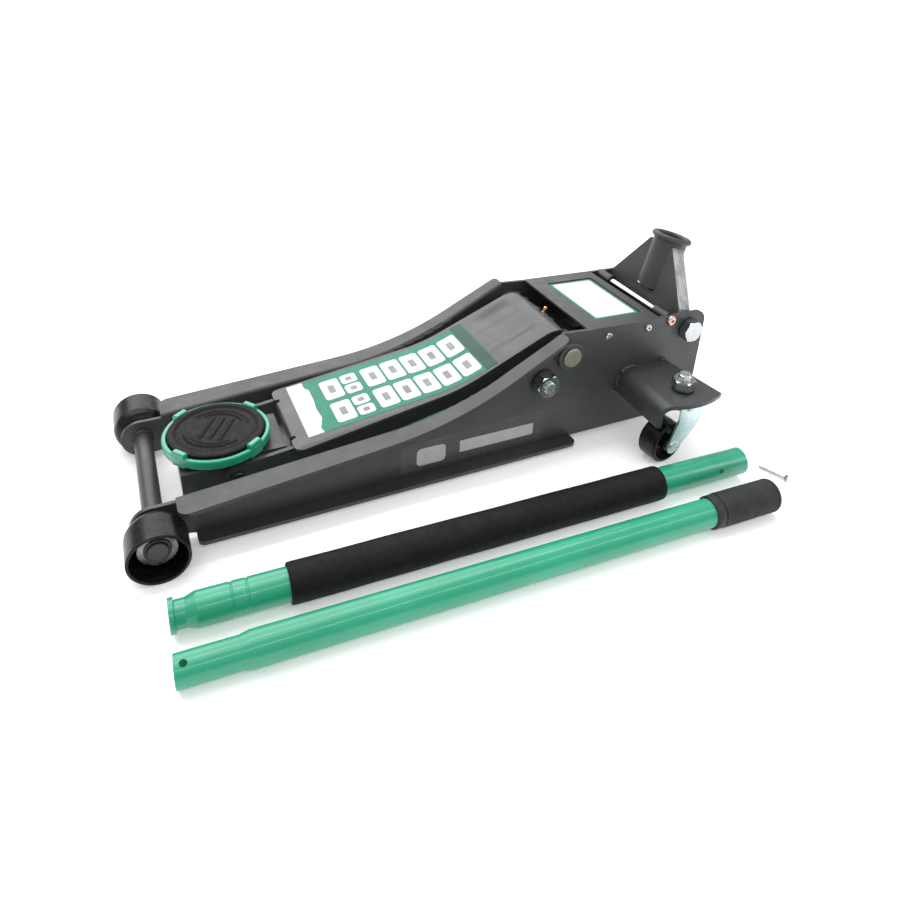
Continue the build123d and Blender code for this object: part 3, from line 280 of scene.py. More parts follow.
def painted(name, colours, roughness=PAINT_GLOSS, peel=PAINT_PEEL, coat=0.0):
    """Sprayed paint, with a clear coat if asked for."""
    shader = Shader(name)
    shader.set(Coat_Weight=coat, Coat_Roughness=0.07)
    shader.colour(sprayed(shader, colours, roughness, peel))
    return shader.material


def paint_with_flank_highlight(name, colours, highlight, node):
    """Sprayed paint with a painted highlight on the node's outward faces, near and far: streaked pale grey
    standing in for the light they catch.
    """
    shader = Shader(name)
    paint = sprayed(shader, colours, PAINT_GLOSS, PAINT_PEEL)
    low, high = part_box(node)
    # painted highlight: the outward faces, near and far, get a streaked pale grey in place of the paint
    flank = shader.ramp(shader.facing_out("Y", low[1], high[1]), 0.0, 1.0, 0.20, 0.30)
    streaked_highlight = shader.ramp(shader.noise(60.0, 5.0, 0.7, (3.0, 1.0, 0.4)), highlight[0], highlight[1], 0.35, 0.60)
    shader.colour(shader.mix(flank, paint, streaked_highlight))
    return shader.material


def cast_paint(name, colours):
    """Black paint over rough cast iron, with lighter spots painted on as mottled highlights."""
    shader = Shader(name)
    base = shader.ramp(shader.noise(90.0, 4.0), colours[0], colours[1])
    # painted highlight: random lighter spots stand in for the mottled glints on the tread
    glint_spots = shader.ramp(shader.noise(420.0, 5.0, 0.7), 0.0, 0.35, 0.60, 0.74)
    shader.colour(shader.mix(glint_spots, base, IRON_GLINT))
    shader.set(Specular_IOR_Level=0.22)
    shader.roughness(shader.ramp(shader.noise(120.0, 4.0), 0.20, 0.36))
    shader.bump(shader.noise(380.0, 4.0, 0.6), 0.22, 0.0005)
    return shader.material


def plated(name, colours, roughness=(0.20, 0.38), grain=None, thread=None):
    """Plated or bare metal: patchy tone, fine grain and, if asked for, thread ridges along an axis."""
    shader = Shader(name)
    shader.set(Metallic=1.0)
    shader.colour(shader.ramp(shader.noise(45.0, 2.0), colours[0], colours[1]))
    fine = shader.noise(500.0, 3.0, 0.5, grain or (1.0, 1.0, 1.0))
    shader.roughness(shader.ramp(fine, roughness[0], roughness[1]))
    shader.bump(fine, 0.008, 0.0001)
    if thread:
        shader.bump(shader.bands(thread[1], thread[0]), 0.20, 0.0005)
    return shader.material


def moulded(name, colours, roughness, grain, depth):
    """Rubber, foam or plastic: fine surface grain over a slightly uneven tone."""
    shader = Shader(name)
    shader.set(Specular_IOR_Level=0.22)
    shader.colour(shader.ramp(shader.noise(40.0, 4.0), colours[0], colours[1]))
    shader.roughness(shader.ramp(shader.noise(150.0), roughness[0], roughness[1]))
    shader.bump(shader.noise(grain, 3.0, 0.6), depth, 0.0005)
    return shader.material


def printed(name, colours, roughness=(0.36, 0.48)):
    """Printed label film with a faint ripple."""
    shader = Shader(name)
    shader.set(Specular_IOR_Level=0.30)
    shader.colour(shader.ramp(shader.noise(25.0), colours[0], colours[1]))
    shader.roughness(shader.ramp(shader.noise(80.0), roughness[0], roughness[1]))
    shader.bump(shader.noise(35.0, 2.0), 0.05, 0.001)
    return shader.material


def make_materials():
    return {
        "grey_paint": painted("grey_paint", GREY_PAINT),
        # the yoke's outward faces carry a painted highlight
        "yoke_paint": paint_with_flank_highlight("yoke_paint", GREY_PAINT, FLANK_HIGHLIGHT, "yoke_bracket"),
        "cover_paint": painted("cover_paint", GREY_PAINT, (0.24, 0.34), 0.05),
        "green_paint": painted("green_paint", GREEN_PAINT, (0.30, 0.42), 0.04, 0.5),
        "black_paint": painted("black_paint", BLACK_PAINT, (0.30, 0.45)),
        "wheel_iron": cast_paint("wheel_iron", WHEEL_BLACK),
        "zinc": plated("zinc", ZINC, (0.17, 0.23)),
        "worn_zinc": plated("worn_zinc", WORN_ZINC, (0.18, 0.40)),
        "blue_zinc": plated("blue_zinc", BLUE_ZINC, (0.24, 0.42)),
        "olive_zinc": plated("olive_zinc", OLIVE_ZINC, (0.30, 0.45)),
        "stud_zinc_side": plated("stud_zinc_side", ZINC, thread=("Y", 210.0)),
        "stud_zinc_upright": plated("stud_zinc_upright", ZINC, thread=("Z", 210.0)),
        "bright_steel": plated("bright_steel", BRIGHT_STEEL, (0.12, 0.24), (1.0, 0.05, 1.0)),
        "copper": plated("copper", COPPER, (0.22, 0.35)),
        "brass": plated("brass", BRASS, (0.18, 0.30)),
        "pad_rubber": moulded("pad_rubber", PAD_RUBBER, (0.52, 0.68), 900.0, 0.20),
        "foam": moulded("foam", FOAM_BLACK, (0.62, 0.78), 1400.0, 0.35),
        "grip_rubber": moulded("grip_rubber", GRIP_BLACK, (0.45, 0.60), 1200.0, 0.12),
        "nylon": moulded("nylon", NYLON_BLACK, (0.22, 0.36), 500.0, 0.06),
        "label_white": printed("label_white", LABEL_WHITE),
        "label_green": printed("label_green", LABEL_GREEN),
        "label_grey": printed("label_grey", LABEL_GREY, (0.22, 0.32)),
        "label_dark": printed("label_dark", LABEL_DARK),
        "label_silver": printed("label_silver", LABEL_SILVER),
        "label_mark": printed("label_mark", LABEL_MARK),
    }


MATERIALS = make_materials()

NODE_MATERIALS = {
    "grey_paint": (
        "side_plate_near", "side_plate_far", "front_axle", "arm_side_bars", "arm_hub", "arm_levers",
        "arm_cross_tubes", "rear_cover", "caster_brackets", "handle_socket", "cylinder_support",
        "saddle_bracket", "reservoir", "pump_block", "pivot_bosses",
    ),
    "yoke_paint": ("yoke_bracket",),
    "green_paint": ("saddle_cup", "radius_rods", "lower_handle_tube", "upper_handle_tube"),
    "black_paint": (
        "tie_rod_sleeves", "rod_pivot_washers", "yoke_pivot_washers", "caster_spring_washers",
        "axle_snap_rings", "saddle_stem_clip", "saddle_pins", "release_valve",
    ),
    "wheel_iron": ("front_wheel_near", "front_wheel_far"),
    "zinc": (
        "rod_pin", "lever_pin", "rod_pivot_nuts", "yoke_pivot_bolts",
        "cover_screws", "caster_nuts", "gland_nut", "cylinder", "filler_plug", "pump_roller",
        "pump_plunger", "ram_clevis", "handle_bolt",
    ),
    "worn_zinc": ("axle_washers", "valve_driver"),
    "blue_zinc": ("caster_fork_near", "caster_fork_far"),
    "olive_zinc": ("pivot_shaft",),
    "stud_zinc_side": ("rod_pivot_studs",),
    "stud_zinc_upright": ("caster_studs",),
    "bright_steel": ("tie_rod", "ram_rod"),
    "copper": ("tie_rod_screws",),
    "brass": ("grease_nipple",),
    "nylon": ("caster_wheel_near", "caster_wheel_far"),
}

# Width of the rounded edges, in millimetres, of the sheet and block pieces.
SOFT_EDGES = {
    "side_plate_near": 0.9, "side_plate_far": 0.9, "rear_cover": 0.7, "caster_brackets": 1.0,
    "yoke_bracket": 0.9, "saddle_cup": 1.0, "saddle_bracket": 0.8, "front_axle": 0.5,
    "arm_side_bars": 0.8, "pump_block": 1.0, "caster_fork_near": 0.5, "caster_fork_far": 0.5,
    "caster_wheel_near": 0.6, "caster_wheel_far": 0.6, "rod_pivot_nuts": 0.4, "caster_nuts": 0.4,
    "yoke_pivot_bolts": 0.4, "handle_bolt": 0.2, "lower_handle_tube": 0.5, "upper_handle_tube": 0.5,
    "tie_rod_sleeves": 0.5, "pivot_shaft": 0.3, "radius_rods": 0.6, "ram_clevis": 0.6,
}


def soften(piece, width, angle=38.0):
    """Round the edges sharper than angle with a bevel of the given width in millimetres."""
    modifier = piece.modifiers.new("soft_edges", "BEVEL")
    modifier.width = width * MM
    modifier.segments = 2
    modifier.limit_method = "ANGLE"
    modifier.angle_limit = math.radians(angle)
    modifier.harden_normals = True


def dress(piece, material):
    """Put one material on the whole of a CAD node."""
    if not piece.material_slots:
        piece.data.materials.append(material)
    for slot in piece.material_slots:
        slot.material = material


def finish_cad_nodes():
    """Give every CAD node its material and soften the edges that catch the light."""
    for material, names in NODE_MATERIALS.items():
        for name in names:
            dress(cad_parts[name], MATERIALS[material])
    for name, width in SOFT_EDGES.items():
        soften(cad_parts[name], width)


# ---- new pieces ----------------------------------------------------------------------------------
def spot(x, y, z):
    """Frame point of a drawing point, which is in millimetres from the floor under the front axle."""
    return Vector(((x - STAND_CENTRE[0]) * MM, (y - STAND_CENTRE[1]) * MM, z * MM))


def add_piece(name, mesh, material, body, replaces=(), smooth=40.0):
    """Make an object from a bmesh, shade it, and let it ride on a CAD body."""
    data = bpy.data.meshes.new(name)
    bmesh.ops.recalc_face_normals(mesh, faces=mesh.faces)
    mesh.to_mesh(data)
    mesh.free()
    piece = bpy.data.objects.new(name, data)
    bpy.context.scene.collection.objects.link(piece)
    data.materials.append(MATERIALS[material])
    data.shade_smooth()
    data.set_sharp_from_angle(angle=math.radians(smooth))
    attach(piece, body)
    if replaces:
        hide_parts(*replaces)
    return piece


def smoothstep(value, low, high):
    """Smooth rise from 0 at low to 1 at high."""
    t = min(1.0, max(0.0, (value - low) / (high - low)))
    return t * t * (3.0 - 2.0 * t)


def skin(mesh, rings):
    """Join successive rings of vertices with quads and close both ends."""
    for first, second in zip(rings, rings[1:]):
        count = len(first)
        for index in range(count):
            after = (index + 1) % count
            mesh.faces.new((first[index], first[after], second[after], second[index]))
    mesh.faces.new(rings[0])
    mesh.faces.new(list(reversed(rings[-1])))


def polar(radius, angle, height=0.0):
    """Vector at a radius and an angle about Z, and a height along it."""
    return Vector((radius * math.cos(angle), radius * math.sin(angle), height))


def arc(centre, radius, angles):
    """Points of an arc in a plane, as pairs."""
    return [(centre[0] + radius * math.cos(angle), centre[1] + radius * math.sin(angle)) for angle in angles]


def full_turn(steps):
    """Angles of evenly spaced steps round a circle."""
    return [2 * math.pi * step / steps for step in range(steps)]


def quarter_turn(steps=6):
    """Angles from a quarter turn down to zero."""
    return [math.pi / 2 * (1 - step / steps) for step in range(steps + 1)]


def line_frame(start, end):
    """Matrix whose Z axis runs from start to end."""
    direction = (end - start).normalized()
    return Matrix.Translation(start) @ direction.to_track_quat("Z", "Y").to_matrix().to_4x4()


# ---- arm cover and its label ---------------------------------------------------------------------
def eased_profile(points, bends):
    """Height of a bent sheet as a function of x: straight runs through points, with each bend eased."""
    slopes = [(b[1] - a[1]) / (b[0] - a[0]) for a, b in zip(points, points[1:])]
    changes = [after - before for before, after in zip(slopes, slopes[1:])]

    def height(x):
        x = min(max(x, points[0][0]), points[-1][0])
        total = points[0][1]
        total += slopes[0] * (x - points[0][0])
        for corner, change, bend in zip(points[1:], changes, bends):
            along = x - corner[0] + bend / 2
            if along >= bend:
                total += change * (along - bend / 2)
            elif along > 0:
                total += change * along * along / (2 * bend)
        return total

    return height


cover_height = eased_profile(COVER_PROFILE, COVER_BENDS)


def cover_dish(x, y):
    """Depth of the shallow pressing at the rear of the arm cover, with its two faint ribs."""
    along = smoothstep(x, 436.0, 470.0) * (1.0 - smoothstep(x, 486.0, 508.0))
    across = 1.0 - smoothstep(abs(y), 38.0, 58.0)
    rib = sum(math.exp(-((y - place) / 2.4) ** 2) for place in DISH_RIBS)
    rib_ends = smoothstep(x, 425.0, 445.0) * (1.0 - smoothstep(x, 490.0, 505.0))
    return DISH_DEPTH * along * across - DISH_RIB_HEIGHT * min(1.0, rib) * rib_ends


def cover_surface(x, y):
    """Height of the arm cover's top, which rolls over slightly at its long edges."""
    edge = smoothstep(abs(y), COVER_HALF - 5.0, COVER_HALF)
    return cover_height(x) - cover_dish(x, y) - 0.8 * edge * edge


def cover_plan():
    """Outline of the arm cover from above, with a notch on each side of the lip and one at the rear."""
    front, rear = COVER_PROFILE[0][0], COVER_PROFILE[-1][0]
    fold, notch = front + APRON_BEND, front + EAR_NOTCH
    half = [(fold, 0.0), (fold, APRON_HALF), (notch, APRON_HALF + 0.5), (notch, EAR_INNER - 0.5)]
    half += [(front + 1.0, EAR_INNER), (front, EAR_INNER + 1.0)]
    for angle in quarter_turn():
        x = front + EAR_CORNER * (1 - math.sin(angle))
        half.append((x, COVER_HALF - EAR_CORNER * (1 - math.cos(angle))))
    for angle in reversed(quarter_turn()):
        x = rear - REAR_CORNER * (1 - math.cos(angle))
        half.append((x, COVER_HALF - REAR_CORNER * (1 - math.sin(angle))))
    half += [(rear, 7.0), (rear - 5.0, 5.0), (rear - 6.0, 0.0)]
    return half + [(x, -y) for x, y in reversed(half) if y > 0]


def draped(outline, surface, lift, step=5.0):
    """Flat outline of (x, y) cut into strips and laid on surface(x, y), as a bmesh in the frame."""
    mesh = bmesh.new()
    mesh.faces.new([mesh.verts.new((x, y, 0.0)) for x, y in outline])
    lows = [min(point[axis] for point in outline) for axis in (0, 1)]
    highs = [max(point[axis] for point in outline) for axis in (0, 1)]
    for low, high, normal in zip(lows, highs, (Vector((1.0, 0.0, 0.0)), Vector((0.0, 1.0, 0.0)))):
        place = low + step
        while place < high:
            everything = mesh.verts[:] + mesh.edges[:] + mesh.faces[:]
            bmesh.ops.bisect_plane(mesh, geom=everything, plane_co=normal * place, plane_no=normal)
            place += step
    for vertex in mesh.verts:
        x, y = vertex.co.x, vertex.co.y
        vertex.co = spot(x, y, surface(x, y) + lift)
    return mesh


def thicken(mesh, thickness):
    """Give a sheet thickness downwards."""
    rim = [edge for edge in mesh.edges if edge.is_boundary]
    copy = bmesh.ops.duplicate(mesh, geom=mesh.verts[:] + mesh.edges[:] + mesh.faces[:])
    below = copy["vert_map"]
    for vertex in [item for item in copy["geom"] if isinstance(item, bmesh.types.BMVert)]:
        vertex.co.z -= thickness * MM
    for edge in rim:
        start, end = edge.verts
        mesh.faces.new((start, end, below[end], below[start]))


def rounded_rectangle(low, high, radius, steps=5):
    """Outline of a rectangle with rounded corners."""
    corners = ((high[0], high[1], 0), (low[0], high[1], 90), (low[0], low[1], 180), (high[0], low[1], 270))
    outline = []
    for x, y, start in corners:
        centre_x = x - radius if x == high[0] else x + radius
        centre_y = y - radius if y == high[1] else y + radius
        turns = [math.radians(start + 90.0 * step / steps) for step in range(steps + 1)]
        outline += arc((centre_x, centre_y), radius, turns)
    return outline


def prism(profile, low, high):
    """Profile of (x, z) points carried across from y = low to y = high."""
    mesh = bmesh.new()
    rings = [[mesh.verts.new(spot(x, y, z)) for x, z in profile] for y in (low, high)]
    skin(mesh, rings)
    return mesh


def apron_profile():
    """Section of the lip folded down at the front of the cover."""
    fold_x = COVER_PROFILE[0][0] + APRON_BEND
    fold_z = cover_height(fold_x) - APRON_BEND
    inner = APRON_BEND - COVER_SHEET
    turns = [math.radians(90.0 + 9.0 * step) for step in range(11)]
    profile = arc((fold_x, fold_z), APRON_BEND, turns)
    profile += [(fold_x - APRON_BEND, APRON_LOW), (fold_x - inner, APRON_LOW)]
    return profile + arc((fold_x, fold_z), inner, reversed(turns))


def joined(meshes):
    """One bmesh made of several."""
    whole = bmesh.new()
    for mesh in meshes:
        data = bpy.data.meshes.new("part")
        mesh.to_mesh(data)
        mesh.free()
        whole.from_mesh(data)
        bpy.data.meshes.remove(data)
    return whole


def add_arm_cover():
    """Bent sheet with the lip folded down at its front."""
    sheet = draped(cover_plan(), cover_surface, 0.0, 4.0)
    thicken(sheet, COVER_SHEET)
    whole = joined([sheet, prism(apron_profile(), -APRON_HALF, APRON_HALF)])
    cover = add_piece("arm_cover_sheet", whole, "cover_paint", "lift_arm", ["arm_cover"], 50.0)
    soften(cover, 0.9, 55.0)


def label_spot(along, across):
    """Place on the arm cover of a point of the label, which is stuck on slightly askew."""
    return LABEL_START + along, across + LABEL_ASIDE - LABEL_SKEW * along


def label_area(points):
    """Outline on the arm cover of an area of the label."""
    return [label_spot(along, across) for along, across in points]


def label_cells():
    """Two opposite corners of each blank cell, row by row up the label; the second row is split smaller."""
    halves = ((-52.0, -8.0), (1.0, 47.0))
    quarters = ((-52.0, -32.0), (-28.5, -8.0), (1.0, 22.0), (25.5, 47.0))
    for row in range(7):
        start = CELL_START + CELL_PITCH * row
        split = row == 1
        for low, high in quarters if split else halves:
            yield (start, low), (start + (SHORT_CELL_LENGTH if split else CELL_LENGTH), high)


def add_label_part(name, outlines, lift, material):
    """Printed areas of the arm label, each an outline of (along, across)."""
    sheets = [draped(label_area(outline), cover_surface, lift) for outline in outlines]
    add_piece(name, joined(sheets), material, "lift_arm")


def add_arm_label():
    """Plain panel with blank cells: green field, white front band, white cells and a dark rear strip."""
    length, half = LABEL_LENGTH, LABEL_HALF
    field = [(0.0, -half), (length, -half), (length, half), (0.0, half)]
    wave = [(20.5, 60.0), (20.5, 46.0), (25.0, 38.0), (25.0, 12.0), (23.0, -8.0), (24.5, -30.0)]
    band = [(0.0, -half), (0.0, half), *wave, (18.0, -50.0), (20.0, -60.0)]
    strip = [(LABEL_STRIP, -half), (length, -half), (length, half), (LABEL_STRIP, half)]
    cells, marks = [], []
    for low, high in label_cells():
        cells.append(rounded_rectangle(low, high, CELL_CORNER))
        middle = ((low[0] + high[0]) / 2, (low[1] + high[1]) / 2)
        reach = (high[1] - low[1]) * 0.20
        corners = (middle[0] - 4.0, middle[1] - reach), (middle[0] + 4.0, middle[1] + reach)
        marks.append(rounded_rectangle(*corners, 1.2))
    add_label_part("arm_label_field", [field], UNDERPRINT, "label_green")
    add_label_part("arm_label_band", [band], OVERPRINT, "label_white")
    add_label_part("arm_label_strip", [strip], OVERPRINT, "label_dark")
    add_label_part("arm_label_cells", cells, OVERPRINT, "label_white")
    add_label_part("arm_label_marks", marks, MARK_PRINT, "label_mark")


# ---- rear cover label and side label -------------------------------------------------------------
def rear_cover_height(x, _y):
    """Height of the floor of the recess for the label in the rear cover."""
    (front, front_z), (rear, rear_z) = REAR_COVER
    return front_z + (x - front) * (rear_z - front_z) / (rear - front) - REAR_COVER_SINK


def add_rear_label():
    """Blank white field with a green border."""
    border = rounded_rectangle((577.5, -62.5), (652.5, 62.5), 4.0)
    add_piece("rear_label_border", draped(border, rear_cover_height, UNDERPRINT), "label_green", "chassis")
    field = rounded_rectangle((581.5, -58.5), (648.5, 58.5), 2.5)
    add_piece("rear_label_field", draped(field, rear_cover_height, OVERPRINT), "label_white", "chassis")


def upright_panel(outline, y):
    """Flat outline of (x, z) standing at y, as a bmesh in the frame."""
    mesh = bmesh.new()
    mesh.faces.new([mesh.verts.new(spot(x, y, z)) for x, z in outline])
    return mesh


def add_side_labels():
    """Grey film on each web with a plain block and a plain bar on it."""
    for side, name in ((-1, "near"), (1, "far")):
        face = side * (PLATE_OUT + 0.2)
        film = upright_panel([(284.0, 16.0), (491.0, 16.0), (491.0, 66.0), (284.0, 58.0)], face)
        add_piece(f"side_label_{name}", film, "label_grey", "chassis")
        bar = upright_panel(rounded_rectangle((366.0, 28.0), (476.0, 46.0), 2.0), face + side * 0.15)
        block = upright_panel(rounded_rectangle((306.0, 22.0), (346.0, 48.0), 6.0), face + side * 0.15)
        add_piece(f"side_label_marks_{name}", joined([bar, block]), "label_silver", "chassis")


# ---- saddle pad ----------------------------------------------------------------------------------
def tread_arcs(radius, angle):
    """Two pairs of raised arcs, each given by its radius, middle and half spread in degrees."""
    height = 0.0
    for ring, spread in ((37.0, 62.0), (31.0, 50.0)):
        for centre in (TREAD_TURN, TREAD_TURN + 180.0):
            turn = (math.degrees(angle) - centre + 180.0) % 360.0 - 180.0
            length = 1.0 - smoothstep(abs(turn), spread - 4.0, spread)
            height += math.exp(-((radius - ring) / 1.3) ** 2) * length
    return height


def tread_bars(radius, angle):
    """Three raised bars side by side."""
    x, y = radius * math.cos(angle), radius * math.sin(angle)
    turn = math.radians(TREAD_TURN)
    across = y * math.cos(turn) - x * math.sin(turn)
    along = x * math.cos(turn) + y * math.sin(turn)
    height = 0.0
    for place in (-12.0, 0.0, 12.0):
        height += math.exp(-((across - place) / 2.4) ** 4) * (1.0 - smoothstep(abs(along), 20.0, 24.0))
    return height


def pad_relief(radius, angle):
    """Height of the moulded tread above the pad's floor, in millimetres."""
    groove = math.exp(-((radius - 45.0) / 1.1) ** 2)
    rim = smoothstep(radius, 47.0, 48.5) * 1.6
    tread = min(1.0, tread_arcs(radius, angle) + tread_bars(radius, angle))
    return TREAD_HEIGHT * tread - 1.2 * groove + rim


def pad_reach(angle):
    """Radius of the pad's outline, which is flattened where the cup's four lugs pass it."""
    half_notch = LUG_WIDTH / 2 + LUG_GAP
    for step in range(4):
        lug = math.radians(SADDLE_TURN + 45.0 + 90.0 * step)
        turn = (angle - lug + math.pi) % (2 * math.pi) - math.pi
        if abs(turn) < math.pi / 4 and abs(PAD_R * math.sin(turn)) < half_notch:
            return min(PAD_R, (LUG_IN - LUG_GAP) / math.cos(turn))
    return PAD_R


def add_saddle_pad():
    """Rubber pad with its moulded tread, as rings of points from the middle outwards and down the side."""
    mesh = bmesh.new()
    outlines = []
    for index in range(PAD_RINGS):
        outline = []
        for angle in full_turn(PAD_STEPS):
            reach = min(0.6 + 1.15 * index, pad_reach(angle) - PAD_EDGE)
            outline.append(polar(reach, angle, PAD_TOP - TREAD_HEIGHT + pad_relief(reach, angle)))
        outlines.append(outline)
    for drop in (2 * PAD_EDGE, PAD_DEPTH):
        outlines.append([polar(pad_reach(angle), angle, PAD_TOP - drop) for angle in full_turn(PAD_STEPS)])
    centre = spot(SADDLE_X, 0.0, 0.0)
    skin(mesh, [[mesh.verts.new(centre + point * MM) for point in outline] for outline in outlines])
    add_piece("saddle_pad_tread", mesh, "pad_rubber", "saddle", ["saddle_pad"], 50.0)


# ---- handle pieces -------------------------------------------------------------------------------
def lathe_with_relief(name, frame_matrix, stations, steps, relief, material, body, replaced, smooth=45.0):
    """Surface of revolution about the frame's Z; each station is (distance, radius, amount of relief)."""
    mesh = bmesh.new()
    rings = []
    for distance, radius, amount in stations:
        ring = []
        for angle in full_turn(steps):
            reach = radius + amount * relief(distance, angle)
            ring.append(mesh.verts.new(frame_matrix @ (polar(reach, angle, distance) * MM)))
        rings.append(ring)
    skin(mesh, rings)
    return add_piece(name, mesh, material, body, [replaced], smooth)


def grip_knurl(distance, angle):
    """Small staggered pyramids around the grip."""
    row = distance / KNURL_PITCH
    column = angle * KNURL_COLUMNS / (2 * math.pi)
    shift = 0.5 if int(math.floor(row)) % 2 else 0.0
    u = abs((row % 1.0) - 0.5) * 2.0
    v = abs(((column + shift) % 1.0) - 0.5) * 2.0
    return -KNURL_DEPTH * max(u, v) ** 2


def add_grip():
    """Grip with a plain collar, a groove, the knurled length and a rounded end."""
    start, end = spot(*UPPER_HANDLE[0]), spot(*UPPER_HANDLE[1])
    length = (end - start).length / MM
    first, crown = GRIP_START, length - GRIP_CROWN
    stations = [(first, SLEEVE_BORE_R, 0.0), (first, 19.6, 0.0), (first + 0.8, 20.4, 0.0)]
    stations += [(first + 11.5, 20.6, 0.0), (first + 12.0, 19.9, 0.0), (first + 13.2, 19.9, 0.0)]
    stations.append((first + 13.6, 20.9, 0.0))
    place = first + 14.6
    while place < crown:
        stations.append((place, GRIP_R, smoothstep(place, first + 15.0, first + 18.0)))
        place += KNURL_STEP
    for step in range(9):
        angle = math.pi / 2 * step / 8
        radius = GRIP_R - GRIP_CROWN * (1 - math.cos(angle))
        stations.append((crown + GRIP_CROWN * math.sin(angle), radius, 0.0))
    stations.append((length, 6.0, 0.0))
    lathe_with_relief(
        "handle_grip_knurled", line_frame(start, end), stations, 204, grip_knurl, "grip_rubber",
        "upper_handle", "handle_grip", 60.0,
    )


def foam_wobble(distance, angle):
    """Soft unevenness of the foam's surface."""
    place = Vector((math.cos(angle), math.sin(angle), distance * 0.012))
    return noise.noise(place * 1.3)


def add_foam():
    """Foam sleeve with soft round ends."""
    start, end = spot(*LOWER_HANDLE[0]), spot(*LOWER_HANDLE[1])
    low, high = FOAM_SPAN
    radius = FOAM_R
    stations = [(low, SLEEVE_BORE_R, 0.0), (low, radius - 1.6, 0.0)]
    stations += [(low + 0.5, radius - 0.7, 0.2), (low + 1.8, radius - 0.2, 0.3)]
    place = low + FOAM_STEP
    while place < high - 5.0:
        stations.append((place, radius - 0.1, 0.45))
        place += FOAM_STEP
    stations += [(high - 1.8, radius - 0.2, 0.3), (high - 0.5, radius - 0.7, 0.2)]
    stations += [(high, radius - 1.6, 0.0), (high, SLEEVE_BORE_R, 0.0)]
    lathe_with_relief(
        "foam_sleeve_skin", line_frame(start, end), stations, 96, foam_wobble, "foam",
        "lower_handle", "foam_sleeve", 60.0,
    )


# ---- weld beads ----------------------------------------------------------------------------------
def weld_bead(name, points, radius, seed):
    """Rippled, painted bead of weld along a line of drawing points."""
    path = [spot(*point) for point in points]
    samples = []
    for first, second in zip(path, path[1:]):
        count = max(2, int((second - first).length / (WELD_STEP * MM)))
        samples += [first.lerp(second, step / count) for step in range(count)]
    samples.append(path[-1])
    mesh = bmesh.new()
    rings = []
    for index, place in enumerate(samples):
        ahead = samples[min(index + 1, len(samples) - 1)] - samples[max(index - 1, 0)]
        across = ahead.to_track_quat("Z", "Y").to_matrix()
        unevenness = noise.noise(Vector((index * 0.21, seed, 0.0)))
        ripple = 1.0 + 0.16 * math.sin(index * 1.35) + 0.22 * unevenness
        taper = min(1.0, 0.35 + 0.3 * min(index, len(samples) - 1 - index))
        reach = radius * MM * ripple * taper
        offsets = [across @ polar(reach, angle) for angle in full_turn(WELD_SIDES)]
        rings.append([mesh.verts.new(place + offset) for offset in offsets])
    skin(mesh, rings)
    add_piece(name, mesh, "grey_paint", "chassis", smooth=80.0)


def circle_points(place, radius, y, start, end, steps=24):
    """Drawing points of an upright arc around place, an (x, z), between two angles in degrees."""
    turns = [math.radians(start + (end - start) * step / steps) for step in range(steps + 1)]
    return [(x, y, z) for x, z in arc(place, radius, turns)]


def add_welds():
    """Beads around the caster bracket's root, above the pivot boss and around the front axle."""
    for side, name in ((-1, "near"), (1, "far")):
        plate, slot = side * (PLATE_OUT + 0.6), f"side_plate_{name}"
        root = [(613.0, plate, 97.0), (619.0, plate, 101.0), (627.0, plate, 102.5), (637.0, plate, 102.5)]
        weld_bead(f"weld_bracket_root_{name}", root, 3.4, 1.0)
        rear = [(682.0, plate, 102.0), (693.0, plate, 101.5)]
        weld_bead(f"weld_bracket_rear_{name}", rear, 3.2, 2.0)
        lip = [(609.0, plate, 66.0), (609.0, plate, 84.0), (611.5, plate, 93.0)]
        weld_bead(f"weld_bracket_lip_{name}", lip, 2.2, 3.0)
        weld_bead(f"weld_boss_{name}", circle_points(ARM_PIVOT, 20.6, plate, 20.0, 200.0), 1.8, 4.0)
        ear = circle_points((0.0, 32.0), 11.6, side * 83.6, 0.0, 360.0, 30)
        weld_bead(f"weld_axle_{name}", ear, 1.8, 5.0)


# ---- build ---------------------------------------------------------------------------------------
def build_pieces():
    finish_cad_nodes()
    add_arm_cover()
    add_arm_label()
    add_rear_label()
    add_side_labels()
    add_saddle_pad()
    add_grip()
    add_foam()
    add_welds()


# ---- camera, light and floor ---------------------------------------------------------------------
def add_camera():
    """Camera at the viewing angle given above: turned, tipped down and rolled."""
    yaw, rise, roll = (math.radians(angle) for angle in (CAMERA_YAW, CAMERA_RISE, CAMERA_ROLL))
    back = Vector((math.sin(yaw) * math.cos(rise), -math.cos(yaw) * math.cos(rise), math.sin(rise)))
    right = Vector((math.cos(yaw), math.sin(yaw), 0.0))
    up = back.cross(right)
    turned_right = math.cos(roll) * right + math.sin(roll) * up
    turned_up = -math.sin(roll) * right + math.cos(roll) * up
    camera = bpy.data.objects.new("camera", bpy.data.cameras.new("camera"))
    bpy.context.scene.collection.objects.link(camera)
    axes = Matrix((turned_right, turned_up, back)).transposed()
    camera.matrix_world = Matrix.Translation(CAMERA_AT) @ axes.to_4x4()
    camera.data.lens = CAMERA_LENS
    camera.data.shift_x, camera.data.shift_y = CAMERA_SHIFT
    camera.data.clip_start, camera.data.clip_end = 0.01, 50.0
    bpy.context.scene.camera = camera


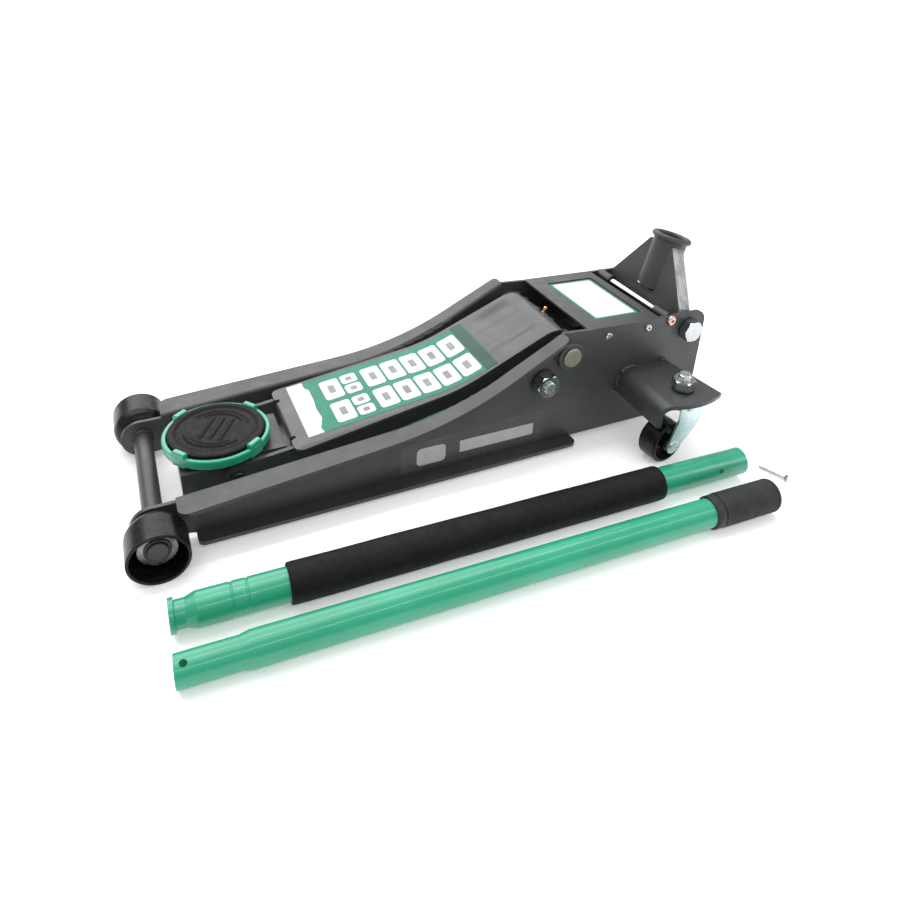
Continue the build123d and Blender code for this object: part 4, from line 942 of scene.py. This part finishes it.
def add_floor():
    """Plain pale floor."""
    mesh = bmesh.new()
    bmesh.ops.create_grid(mesh, x_segments=2, y_segments=2, size=60.0)
    data = bpy.data.meshes.new("floor")
    mesh.to_mesh(data)
    mesh.free()
    floor = bpy.data.objects.new("floor", data)
    bpy.context.scene.collection.objects.link(floor)
    shader = Shader("floor")
    shader.colour(shader.ramp(shader.noise(3.0), (0.90, 0.90, 0.90), (0.92, 0.92, 0.92)))
    shader.set(Roughness=0.75, Emission_Color=(1.0, 1.0, 1.0, 1.0), Emission_Strength=FLOOR_GLOW)
    data.materials.append(shader.material)


def add_soft_light(name, place, size, power):
    """Rectangular light aimed at the jack."""
    light = bpy.data.objects.new(name, bpy.data.lights.new(name, "AREA"))
    bpy.context.scene.collection.objects.link(light)
    light.data.shape = "RECTANGLE"
    light.data.size, light.data.size_y = size
    light.data.energy = power
    light.location = place
    light.rotation_euler = (Vector(LIGHT_AIM) - Vector(place)).to_track_quat("-Z", "Y").to_euler()


def add_world():
    """White surroundings that brighten from the horizon upwards."""
    world = bpy.data.worlds.new("studio")
    bpy.context.scene.world = world
    world.use_nodes = True
    nodes, links = world.node_tree.nodes, world.node_tree.links
    height = nodes.new("ShaderNodeSeparateXYZ")
    links.new(nodes.new("ShaderNodeTexCoord").outputs["Generated"], height.inputs["Vector"])
    fade = nodes.new("ShaderNodeMapRange")
    fade.inputs["From Min"].default_value = 0.0
    fade.inputs["From Max"].default_value = WORLD_FADE_TO
    fade.inputs["To Min"].default_value = WORLD_STRENGTH[0]
    fade.inputs["To Max"].default_value = WORLD_STRENGTH[1]
    links.new(height.outputs["Z"], fade.inputs["Value"])
    links.new(fade.outputs["Result"], nodes["Background"].inputs["Strength"])
    nodes["Background"].inputs["Color"].default_value = (1.0, 1.0, 1.0, 1.0)


def add_lights():
    """Wide soft sun and the soft lights, shown without any tone curve."""
    sun = bpy.data.objects.new("overhead_sun", bpy.data.lights.new("overhead_sun", "SUN"))
    bpy.context.scene.collection.objects.link(sun)
    sun.data.energy = SUN_STRENGTH
    sun.data.angle = math.radians(SUN_SPREAD)
    sun.rotation_euler = Vector(SUN_FROM).to_track_quat("Z", "Y").to_euler()
    for light in SOFT_LIGHTS:
        add_soft_light(*light)
    bpy.context.scene.view_settings.view_transform = "Standard"


build_pieces()
add_camera()
add_floor()
add_world()
add_lights()
